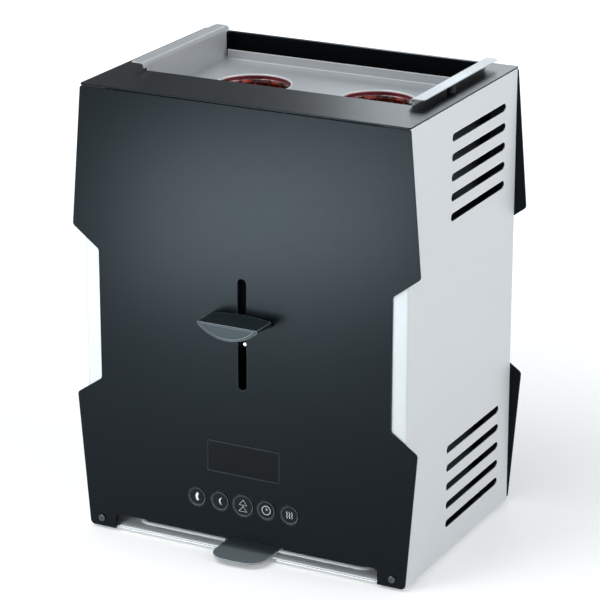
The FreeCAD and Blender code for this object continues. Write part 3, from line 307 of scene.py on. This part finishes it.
class Finish:
    """A node material that is built up around one shader, on Object coordinates."""

    def __init__(self, name, colour, roughness, metallic=0.0):
        self.material = bpy.data.materials.new(name)
        self.material.use_nodes = True
        self.tree = self.material.node_tree
        self.nodes = self.tree.nodes
        self.shader = self.nodes["Principled BSDF"]
        self.colour = colour
        self.roughness = roughness
        self.set("Base Color", opaque(colour))
        self.set("Roughness", roughness)
        self.set("Metallic", metallic)
        self.coordinates = self.nodes.new("ShaderNodeTexCoord").outputs["Object"]
        self.bevel = None

    def set(self, socket, value):
        """Sets a plain value on the shader."""
        self.shader.inputs[socket].default_value = value

    def join(self, output, target):
        """Links an output to an input."""
        self.tree.links.new(output, target)

    def noise(self, scale, detail=3.0, stretch=(1.0, 1.0, 1.0)):
        """A noise pattern, scaled per metre and stretched along the axes."""
        mapping = self.nodes.new("ShaderNodeMapping")
        mapping.inputs["Scale"].default_value = stretch
        self.join(self.coordinates, mapping.inputs["Vector"])
        noise = self.nodes.new("ShaderNodeTexNoise")
        noise.inputs["Scale"].default_value = scale
        noise.inputs["Detail"].default_value = detail
        self.join(mapping.outputs["Vector"], noise.inputs["Vector"])
        return noise.outputs["Fac"]

    def spread(self, factor, low, high):
        """A noise pattern stretched so that it runs between two values."""
        return mapped(self.tree, factor, noise_low, noise_high, low, high).outputs["Result"]

    def vary_roughness(self, factor, reach):
        """Lets the gloss wander with a pattern."""
        rough = self.spread(factor, self.roughness - reach, self.roughness + reach)
        self.join(rough, self.shader.inputs["Roughness"])

    def vary_colour(self, factor, darker, lighter):
        """Lets the colour wander with a pattern, between two shares of itself."""
        mix = self.nodes.new("ShaderNodeMix")
        mix.data_type = "RGBA"
        mix.inputs["A"].default_value = opaque([min(1.0, c * darker) for c in self.colour])
        mix.inputs["B"].default_value = opaque([min(1.0, c * lighter) for c in self.colour])
        self.join(self.spread(factor, 0.0, 1.0), mix.inputs["Factor"])
        self.join(mix.outputs["Result"], self.shader.inputs["Base Color"])

    def cover(self, factor, colour):
        """Lays a colour over the one that the surface has so far, as far as a factor says."""
        mix = self.nodes.new("ShaderNodeMix")
        mix.data_type = "RGBA"
        base = self.shader.inputs["Base Color"]
        self.join(base.links[0].from_socket, mix.inputs["A"])
        mix.inputs["B"].default_value = opaque(colour)
        self.join(factor, mix.inputs["Factor"])
        self.join(mix.outputs["Result"], base)

    def along(self, output, axis):
        """What a vector measures along one axis."""
        split = self.nodes.new("ShaderNodeSeparateXYZ")
        self.join(output, split.inputs["Vector"])
        return split.outputs[axis]

    def compare(self, value, operation, limit):
        """A factor that is 1 where a value is past a limit."""
        test = self.nodes.new("ShaderNodeMath")
        test.operation = operation
        self.join(value, test.inputs[0])
        test.inputs[1].default_value = limit
        return test.outputs["Value"]

    def face_normal(self):
        """The direction that the surface faces."""
        return self.nodes.new("ShaderNodeNewGeometry").outputs["Normal"]

    def rounded(self, radius):
        """A node that gives the surface's direction as if its sharp edges were rounded."""
        bevel = self.nodes.new("ShaderNodeBevel")
        bevel.samples = edge_samples
        bevel.inputs["Radius"].default_value = radius
        return bevel

    def round_edges(self, radius):
        """Makes sharp edges catch the light as if they were rounded."""
        self.bevel = self.rounded(radius)
        self.join(self.bevel.outputs["Normal"], self.shader.inputs["Normal"])

    def highlight_edges(self, radius, colour, around=None, within=0.0):
        """Paints highlights on sharp edges and folds, or only on those that lie near a point."""
        turn = self.nodes.new("ShaderNodeVectorMath")
        turn.operation = "DOT_PRODUCT"
        self.join(self.rounded(radius).outputs["Normal"], turn.inputs[0])
        self.join(self.face_normal(), turn.inputs[1])
        near = mapped(self.tree, turn.outputs["Value"], edge_start, edge_full)
        if around is not None:
            far = self.nodes.new("ShaderNodeVectorMath")
            far.operation = "DISTANCE"
            self.join(self.coordinates, far.inputs[0])
            far.inputs[1].default_value = around
            near_controls = mapped(self.tree, far.outputs["Value"], within, within * highlight_end, low=1.0, high=0.0)
            self.join(near_controls.outputs["Result"], near.inputs["To Max"])
        self.cover(near.outputs["Result"], colour)

    def shade_inner_faces(self, colour):
        """Paints shade on the inner faces of the front and rear flanges: those that look towards the middle.
        """
        facing = self.nodes.new("ShaderNodeMath")
        facing.operation = "MULTIPLY"
        for output, target in zip((self.coordinates, self.face_normal()), facing.inputs):
            self.join(self.along(output, "Y"), target)
        self.cover(self.compare(facing.outputs["Value"], "LESS_THAN", inner_face), colour)

    def highlight_above(self, height, colour):
        """Paints a highlight on all that lies above a height, such as the rim of a neck."""
        self.cover(self.compare(self.along(self.coordinates, "Z"), "GREATER_THAN", height), colour)

    def relief(self, factor, depth):
        """Raises and sinks the surface with a pattern."""
        bump = self.nodes.new("ShaderNodeBump")
        bump.inputs["Strength"].default_value = 1.0
        bump.inputs["Distance"].default_value = depth
        self.join(factor, bump.inputs["Height"])
        self.join(self.bevel.outputs["Normal"], bump.inputs["Normal"])
        self.join(bump.outputs["Normal"], self.shader.inputs["Normal"])


def coated(name, colour, roughness, specular, painted_highlight, reach, around=None, within=0.0):
    """Powder-coated sheet: a fine pebbled skin with slow random changes of tone, and painted highlights
    along its edges.
    """
    finish = Finish(name, colour, roughness)
    finish.set("Specular IOR Level", specular)
    finish.set("Specular Tint", opaque(settings().sheen))
    finish.round_edges(settings().edge_round)
    finish.vary_colour(finish.noise(scale=14.0), darker=0.95, lighter=1.05)
    finish.highlight_edges(reach, painted_highlight, around, within)
    finish.vary_roughness(finish.noise(scale=350.0, detail=4.0), reach=0.015)
    finish.relief(finish.noise(scale=1400.0, detail=2.0), depth=0.000012)
    return finish.material


def brushed(name, colour, roughness, stretch, metallic=1.0, depth=0.000006, contrast=0.06, inside=None):
    """Brushed or rolled steel: long fine scratches that run along one axis, painted highlights along its
    edges and folds, and painted shade on the inner faces of its flanges when an inner colour is given.
    """
    finish = Finish(name, colour, roughness, metallic)
    finish.round_edges(settings().edge_round)
    lines = finish.noise(scale=1.0, detail=4.0, stretch=stretch)
    finish.vary_colour(lines, darker=1.0 - contrast, lighter=1.0 + contrast)
    finish.highlight_edges(settings().fold_round, settings().bright_highlight)
    if inside:
        finish.shade_inner_faces(inside)
    finish.vary_roughness(finish.noise(scale=9.0, detail=5.0), reach=0.06)
    finish.relief(lines, depth)
    return finish.material


def plated(name, colour, roughness):
    """Zinc-plated steel with a faint cloudy spangle."""
    finish = Finish(name, colour, roughness, metallic=1.0)
    finish.round_edges(settings().edge_round)
    spangle = finish.noise(scale=120.0, detail=5.0)
    finish.vary_colour(spangle, darker=0.86, lighter=1.12)
    finish.vary_roughness(spangle, reach=0.08)
    return finish.material


def heat_stained(name, colour, roughness, rim=None):
    """Dark steel with brown and blue stains from the heat, and a painted highlight above the height of its
    rim.
    """
    finish = Finish(name, colour, roughness, metallic=0.3)
    finish.vary_colour(finish.noise(scale=30.0, detail=6.0), darker=0.6, lighter=1.5)
    if rim:
        finish.highlight_above(rim, settings().bright_highlight)
    finish.vary_roughness(finish.noise(scale=80.0, detail=4.0), reach=0.1)
    return finish.material


def moulded(name, colour, roughness, specular=0.4, painted_highlight=None):
    """Moulded plastic or rubber with a fine grain, and painted highlights along its edges when a highlight
    colour is given.
    """
    finish = Finish(name, colour, roughness)
    finish.set("Specular IOR Level", specular)
    finish.round_edges(settings().edge_round)
    finish.vary_colour(finish.noise(scale=25.0), darker=0.9, lighter=1.12)
    if painted_highlight:
        finish.highlight_edges(settings().edge_round, painted_highlight)
    finish.relief(finish.noise(scale=2200.0, detail=2.0), depth=0.000008)
    return finish.material


def smoked(name, colour, roughness, specular):
    """Smoked clear plastic, dark with nothing lit behind it, with a painted highlight line round its edge.
    """
    finish = Finish(name, colour, roughness)
    finish.set("Specular IOR Level", specular)
    finish.round_edges(settings().edge_round)
    finish.vary_colour(finish.noise(scale=40.0), darker=0.95, lighter=1.05)
    finish.highlight_edges(settings().edge_round, settings().paint_highlight)
    finish.vary_roughness(finish.noise(scale=90.0), reach=0.03)
    return finish.material


def glowing(name, colour, roughness, metallic):
    """Resistance ribbon, darkened by heat and aglow."""
    finish = Finish(name, colour, roughness, metallic)
    finish.vary_colour(finish.noise(scale=200.0, detail=4.0), darker=0.7, lighter=1.3)
    finish.set("Emission Color", opaque(settings().glow))
    finish.set("Emission Strength", settings().glow_strength)
    return finish.material


def settings():
    """The toaster's finishes, as the user has set them."""
    return bpy.context.scene.toaster_finishes


def dress(names, material):
    """Gives nodes one finish."""
    for name in names:
        for slot in nodes[name].material_slots:
            slot.material = material


def only(obj):
    """Selects one object and makes it active."""
    bpy.ops.object.select_all(action="DESELECT")
    obj.select_set(True)
    bpy.context.view_layer.objects.active = obj


def settle(obj):
    """Puts an object's place, turn and size into its mesh."""
    only(obj)
    bpy.ops.object.transform_apply(location=True, rotation=True, scale=True)


def printed_line(points, width, closed=False, smooth=True, taper=0.0):
    """A round line through points (x, z) around the origin, as a mesh, thinner at its ends by a taper."""
    bpy.ops.object.select_all(action="DESELECT")
    bpy.ops.curve.primitive_nurbs_path_add(radius=width)
    line = bpy.context.view_layer.objects.active
    curve = line.data
    curve.splines.clear()
    curve.bevel_depth = width / 2
    curve.bevel_resolution = 2
    curve.use_fill_caps = True
    spline = curve.splines.new("NURBS" if smooth else "POLY")
    last = len(points) - 1
    spline.points.add(last)
    for i, (point, (x, z)) in enumerate(zip(spline.points, points)):
        point.co = (x, 0.0, z, 1.0)
        point.radius = 1.0 - taper * (2 * i / last - 1) ** 2
    spline.use_cyclic_u = closed
    if smooth:
        spline.order_u = 3
        spline.use_endpoint_u = not closed
        spline.resolution_u = 6
    only(line)
    bpy.ops.object.convert(target="MESH")
    return bpy.context.view_layer.objects.active


def arc_points(radius, start, end, count, centre=0.0):
    """Points on an arc centred on the X axis, with angles in degrees from +X towards +Z."""
    angles = [math.radians(start + (end - start) * i / (count - 1)) for i in range(count)]
    return [(centre + radius * math.cos(a), radius * math.sin(a)) for a in angles]


def bow_lines(size, thickness, half_turn, taper):
    """One bowed stroke, thick or thin as its button says."""
    radius = size * bow_reach / math.sin(math.radians(half_turn))
    points = arc_points(radius, 180.0 - half_turn, 180.0 + half_turn, bow_points, radius * bow_centre)
    return [printed_line(points, thickness, taper=taper)]


def start_lines(size, line):
    """Two open triangles, one above the other."""
    half = size * triangle_half
    lines = []
    for base in triangle_bases:
        low = size * base
        corners = [(-half, low), (half, low), (0.0, low + size * triangle_height)]
        lines.append(printed_line(corners, line, closed=True, smooth=False))
    return lines


def timer_lines(size, line):
    """A clock face with two hands."""
    radius = size * clock_radius
    circle = arc_points(radius, 0.0, 360.0 - 360.0 / clock_points, clock_points)
    face = printed_line(circle, line, closed=True)
    hands = [(0.0, radius * long_hand), (0.0, 0.0), tuple(radius * share for share in short_hand)]
    return [face, printed_line(hands, line, smooth=False)]


def defrost_lines(size, line):
    """Three rising waves of heat."""
    lines = []
    for i in (-1, 0, 1):
        points = []
        for k in range(wave_steps + 1):
            x = i * size * wave_pitch + size * wave_sway * math.sin(k * math.pi / 2)
            points.append((x, size * wave_height * (k / wave_steps - 0.5)))
        lines.append(printed_line(points, line))
    return lines


def place_symbol(name, lines, button, material):
    """Joins a symbol's lines, flattens them to a print and lays them on the face of a cap."""
    only(lines[0])
    for line in lines:
        line.select_set(True)
    if len(lines) > 1:
        bpy.ops.object.join()
    symbol = bpy.context.view_layer.objects.active
    symbol.name = name
    symbol.data.name = name
    low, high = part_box(button)
    lift = settings_of_symbols().lift
    symbol.scale = (1.0, 2.0 * lift / max(symbol.dimensions.y, lift), 1.0)
    symbol.location = ((low.x + high.x) / 2, dish_depth(button), (low.z + high.z) / 2)
    settle(symbol)
    symbol.data.materials.clear()
    symbol.data.materials.append(material)
    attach(symbol, button + "_cap")


def dish_depth(button):
    """The Y of the dished face inside a cap's rim, from the vertices near its middle."""
    low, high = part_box(button)
    middle = (low + high) / 2
    reach = (high.x - low.x) * dish_share
    near = [
        v.co.y
        for v in nodes[button].data.vertices
        if math.hypot(v.co.x - middle.x, v.co.z - middle.z) < reach and v.co.y < low.y + dish_limit
    ]
    return max(near)


def settings_of_symbols():
    """The sizes of the symbols, as the user has set them."""
    return bpy.context.scene.toaster_symbols


class TOASTER_OT_housing(bpy.types.Operator):
    """Paint the front, rear and top, and brush the steel sides"""

    bl_idname = "toaster.housing"
    bl_label = "Housing"

    def execute(self, context):
        finish = settings()
        low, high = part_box("front_panel")
        # Painted highlights along the edges of the coats round the controls
        edge_highlight = {
            "painted_highlight": finish.paint_highlight,
            "reach": finish.edge_round,
            "around": (0.0, low.y, (low.z + high.z) / 2 * controls_height),
            "within": (high.z - low.z) * highlight_reach,
        }
        paint = coated("panel_paint", finish.paint, finish.paint_roughness, specular=0.13, **edge_highlight)
        steel = brushed(
            "side_steel",
            finish.side_steel,
            finish.side_roughness,
            side_scratches,
            metallic=0.15,
            depth=0.000001,
            contrast=0.012,
            # The chamber's dark colour is laid on the inner faces of the flanges as painted shade
            inside=finish.chamber_steel,
        )
        frame_coat = coated("frame_coat", finish.frame_coat, roughness=0.6, specular=0.05, **edge_highlight)
        rubber = moulded("rubber", finish.rubber, roughness=0.7)
        dress(["front_panel", "rear_panel", "top_plate"], paint)
        dress(["opening_frame"], frame_coat)
        dress(["left_side_panel", "right_side_panel"], steel)
        dress(["rubber_feet", "handle_bumpers", "cord_gland"], rubber)
        base = brushed("base_steel", finish.tray_steel, roughness=0.38, stretch=base_scratches)
        dress(["base_plate"], base)
        return {"FINISHED"}


class TOASTER_OT_insert(bpy.types.Operator):
    """Give the lift-out insert, its wells and its wire cages their steel"""

    bl_idname = "toaster.insert"
    bl_label = "Insert and cages"

    def execute(self, context):
        finish = settings()
        rolled = brushed(
            "insert_steel",
            finish.insert_steel,
            roughness=0.42,
            stretch=insert_scratches,
            metallic=0.42,
            depth=0.000003,
            contrast=0.03,
        )
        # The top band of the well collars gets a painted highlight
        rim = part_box("well_collars")[1].z - finish.fold_round
        dress(["insert_tray"], rolled)
        # The collars' wine red is painted glow from the heaters
        dress(["well_collars"], heat_stained("well_steel", finish.well_steel, roughness=0.4, rim=rim))
        dress(["left_cage_rings", "right_cage_rings"], plated("cage_ring", finish.cage_ring, roughness=0.3))
        dress(["left_cage_wires", "right_cage_wires"], plated("cage_wire", finish.cage_wire, roughness=0.35))
        return {"FINISHED"}


class TOASTER_OT_lift(bpy.types.Operator):
    """Coat the lever and plate the carriage, arms and rests"""

    bl_idname = "toaster.lift"
    bl_label = "Lever and lift"

    def execute(self, context):
        finish = settings()
        knob = coated(
            "lever_coat",
            finish.lever,
            roughness=0.38,
            specular=0.28,
            painted_highlight=finish.lever_highlight,
            reach=knob_highlight_reach,
        )
        inner = plated("plated_steel", finish.plated_steel, roughness=0.4)
        dress(["lever_knob"], knob)
        dress(["lever_stem"], plated("blackened_steel", finish.lever_stem, roughness=0.45))
        dress(["lift_carriage", "armature_plate", "left_lift_arm", "right_lift_arm"], inner)
        dress(["left_sausage_rest", "right_sausage_rest", "upper_rod_bracket", "lower_rod_bracket"], inner)
        dress(["spring_anchor", "guide_rods", "lift_spring", "magnet_core", "tray_guides"], inner)
        dress(["lever_screw", "stem_rivet"], plated("bright_screw", finish.bright_screw, roughness=0.22))
        dress(["carriage_bushes"], plated("bronze", finish.bronze, roughness=0.35))
        dress(["magnet_coil"], brushed("copper_winding", finish.copper, roughness=0.4, stretch=coil_turns))
        return {"FINISHED"}


class TOASTER_OT_tray(bpy.types.Operator):
    """Give the drip tray its bright steel and the tongue its grey coat"""

    bl_idname = "toaster.tray"
    bl_label = "Drip tray"

    def execute(self, context):
        finish = settings()
        bright = brushed(
            "tray_steel", finish.tray_steel, roughness=0.5, stretch=tray_scratches, metallic=0.15
        )
        coat = coated(
            "tongue_coat",
            finish.tongue,
            roughness=0.4,
            specular=0.5,
            painted_highlight=finish.bright_highlight,
            reach=tongue_highlight_reach,
        )
        dress(["drip_tray"], bright)
        dress(["tray_tongue"], coat)
        return {"FINISHED"}


class TOASTER_OT_heaters(bpy.types.Operator):
    """Darken the heating chamber and light its heater ribbons"""

    bl_idname = "toaster.heaters"
    bl_label = "Heating chamber"

    def execute(self, context):
        finish = settings()
        dark = heat_stained("chamber_steel", finish.chamber_steel, roughness=0.5)
        mica = moulded("mica", finish.mica, roughness=0.6)
        ribbon = glowing("heater_ribbon", finish.ribbon, roughness=0.5, metallic=0.4)
        dress(["chamber_wrap", "chamber_front"], dark)
        for side in heater_sides:
            dress([side + "_heater_card"], mica)
            dress([side + "_heater_winding"], ribbon)
        return {"FINISHED"}


class TOASTER_OT_controls(bpy.types.Operator):
    """Finish the display, the button caps, the electrics and the screws"""

    bl_idname = "toaster.controls"
    bl_label = "Display, buttons and electrics"

    def execute(self, context):
        finish = settings()
        cap = moulded(
            "button_plastic",
            finish.buttons,
            roughness=0.35,
            specular=0.15,
            painted_highlight=finish.button_highlight,
        )
        dark = moulded("dark_plastic", finish.dark_plastic, roughness=0.5)
        screw = plated("panel_screw", finish.panel_screw, roughness=0.3)
        dress(["display_window"], smoked("smoked_window", finish.window, roughness=0.16, specular=0.12))
        dress(button_names, cap)
        dress(["display_module", "button_guide", "tact_switches"], dark)
        dress(["terminal_block", "board_components"], dark)
        dress(["control_board"], moulded("circuit_board", finish.board, roughness=0.4))
        dress(["board_screws", "front_panel_screws", "rear_panel_screws"], screw)
        return {"FINISHED"}


class TOASTER_OT_symbols(bpy.types.Operator):
    """Print a symbol on each button"""

    bl_idname = "toaster.symbols"
    bl_label = "Button symbols"

    def execute(self, context):
        marks = settings_of_symbols()
        size, line = marks.size, marks.line
        ink = moulded("symbol_print", settings().symbols, roughness=0.55)
        thick = bow_lines(size, marks.thick, thick_half_turn, thick_taper)
        place_symbol("thick_sausage_symbol", thick, "thick_sausage_button", ink)
        thin = bow_lines(size, marks.thin, thin_half_turn, thin_taper)
        place_symbol("thin_sausage_symbol", thin, "thin_sausage_button", ink)
        place_symbol("start_symbol", start_lines(size, line), "start_button", ink)
        place_symbol("timer_symbol", timer_lines(size, line), "timer_button", ink)
        place_symbol("defrost_symbol", defrost_lines(size, line), "defrost_button", ink)
        return {"FINISHED"}


def softbox(name, place, aim, size, power, colour):
    """A rectangular area lamp that faces a point, and that the camera doesn't see."""
    lamp = bpy.data.lights.new(name, "AREA")
    lamp.shape = "RECTANGLE"
    lamp.size, lamp.size_y = size
    lamp.energy = power
    lamp.color = colour
    obj = bpy.data.objects.new(name, lamp)
    obj.location = place
    obj.rotation_euler = (Vector(aim) - Vector(place)).to_track_quat("-Z", "Y").to_euler()
    obj.visible_camera = False
    bpy.context.scene.collection.objects.link(obj)


def seen_directly(tree):
    """A factor that is 1 for what the camera sees, straight or through gloss and glass."""
    path = tree.nodes.new("ShaderNodeLightPath")
    seen = path.outputs["Is Camera Ray"]
    for ray in ("Is Glossy Ray", "Is Transmission Ray"):
        either = tree.nodes.new("ShaderNodeMath")
        either.operation = "MAXIMUM"
        tree.links.new(seen, either.inputs[0])
        tree.links.new(path.outputs[ray], either.inputs[1])
        seen = either.outputs["Value"]
    return seen


def floor_finish(stage):
    """A matt floor that looks whiter than it lights, with white added further out."""
    white = Finish("studio_floor", stage.floor_colour, roughness=0.9)
    white.set("Specular IOR Level", 0.0)
    seen = seen_directly(white.tree)
    shade = white.nodes.new("ShaderNodeMix")
    shade.data_type = "RGBA"
    shade.inputs["A"].default_value = opaque([c * stage.bounce for c in stage.floor_colour])
    shade.inputs["B"].default_value = opaque(stage.floor_colour)
    white.join(seen, shade.inputs["Factor"])
    white.join(shade.outputs["Result"], white.shader.inputs["Base Color"])
    white.set("Emission Color", (1.0, 1.0, 1.0, 1.0))
    away = white.nodes.new("ShaderNodeVectorMath")
    away.operation = "LENGTH"
    white.join(white.coordinates, away.inputs[0])
    start, end = stage.fill_start, stage.fill_end
    fill = mapped(white.tree, away.outputs["Value"], start, end, stage.floor_lift, stage.far_lift)
    lift = mapped(white.tree, seen)
    white.join(fill.outputs["Result"], lift.inputs["To Max"])
    white.join(lift.outputs["Result"], white.shader.inputs["Emission Strength"])
    return white.material


def lay_floor(stage):
    """The round floor under the toaster."""
    bpy.ops.object.select_all(action="DESELECT")
    bpy.ops.mesh.primitive_circle_add(vertices=floor_corners, radius=stage.floor_radius, fill_type="NGON")
    floor = bpy.context.view_layer.objects.active
    floor.name = "studio_floor"
    floor.data.materials.append(floor_finish(stage))


def light_sky(stage):
    """A sky that is white at the horizon and darker overhead, and that lights less than it shows."""
    scene = bpy.context.scene
    scene.world = scene.world or bpy.data.worlds.new("studio_sky")
    scene.world.use_nodes = True
    tree = scene.world.node_tree
    sky = tree.nodes["Background"]
    sky.inputs["Color"].default_value = opaque(stage.sky_colour)
    direction = tree.nodes.new("ShaderNodeTexCoord")
    height = tree.nodes.new("ShaderNodeSeparateXYZ")
    tree.links.new(direction.outputs["Generated"], height.inputs["Vector"])
    fade = mapped(tree, height.outputs["Z"], stage.fade_start, stage.fade_end, low=1.0, high=stage.sky_top)
    strength = mapped(tree, seen_directly(tree), low=stage.sky)
    tree.links.new(fade.outputs["Result"], strength.inputs["To Max"])
    tree.links.new(strength.outputs["Result"], sky.inputs["Strength"])


def hang_lamps(stage):
    """The four softboxes around the toaster."""
    for name in ("top", "side", "front", "back"):
        parts = [getattr(stage, name + "_" + part) for part in ("place", "aim", "size", "power", "colour")]
        softbox(name + "_lamp", *parts)


def set_camera(stage):
    """The camera that looks at the front and the right side from a little above."""
    scene = bpy.context.scene
    camera = bpy.data.cameras.new("camera")
    camera.lens = stage.lens
    camera.sensor_width = sensor_width
    camera.clip_end = stage.sight
    eye = bpy.data.objects.new("camera", camera)
    flat = math.cos(stage.elevation)
    right, ahead = math.sin(stage.azimuth) * flat, math.cos(stage.azimuth) * flat
    back = Vector((right, -ahead, math.sin(stage.elevation)))
    eye.location = Vector(stage.aim) + back * stage.distance
    eye.rotation_euler = back.to_track_quat("Z", "Y").to_euler()
    scene.collection.objects.link(eye)
    scene.camera = eye
    scene.view_settings.view_transform = "Standard"


class TOASTER_OT_stage(bpy.types.Operator):
    """Add the floor, the sky, the lamps and the camera"""

    bl_idname = "toaster.stage"
    bl_label = "Studio"

    def execute(self, context):
        stage = context.scene.toaster_stage
        lay_floor(stage)
        light_sky(stage)
        hang_lamps(stage)
        set_camera(stage)
        return {"FINISHED"}


class TOASTER_PT_panel(bpy.types.Panel):
    """List the toaster's settings and steps"""

    bl_label = "Hot Dog Toaster"
    bl_idname = "TOASTER_PT_panel"
    bl_space_type = "VIEW_3D"
    bl_region_type = "UI"
    bl_category = "Toaster"

    def draw(self, context):
        scene = context.scene
        for group in (scene.toaster_finishes, scene.toaster_symbols, scene.toaster_stage):
            box = self.layout.box()
            for name in type(group).__annotations__:
                box.prop(group, name)
        for operator in operators:
            self.layout.operator(operator.bl_idname)


groups = (
    ("toaster_finishes", ToasterFinishes),
    ("toaster_symbols", ToasterSymbols),
    ("toaster_stage", ToasterStage),
)
operators = (
    TOASTER_OT_housing,
    TOASTER_OT_insert,
    TOASTER_OT_lift,
    TOASTER_OT_tray,
    TOASTER_OT_heaters,
    TOASTER_OT_controls,
    TOASTER_OT_symbols,
    TOASTER_OT_stage,
)


def register():
    """Makes the settings, steps and panel known to Blender."""
    for name, group in groups:
        bpy.utils.register_class(group)
        setattr(bpy.types.Scene, name, bpy.props.PointerProperty(type=group))
    for step in operators + (TOASTER_PT_panel,):
        bpy.utils.register_class(step)


def unregister():
    """Takes the settings, steps and panel out of Blender again."""
    for step in reversed(operators + (TOASTER_PT_panel,)):
        bpy.utils.unregister_class(step)
    for name, group in reversed(groups):
        delattr(bpy.types.Scene, name)
        bpy.utils.unregister_class(group)


def main():
    """Dresses the toaster and sets the stage."""
    register()
    bpy.ops.toaster.housing()
    bpy.ops.toaster.insert()
    bpy.ops.toaster.lift()
    bpy.ops.toaster.tray()
    bpy.ops.toaster.heaters()
    bpy.ops.toaster.controls()
    bpy.ops.toaster.symbols()
    bpy.ops.toaster.stage()


if __name__ == "__main__":
    main()
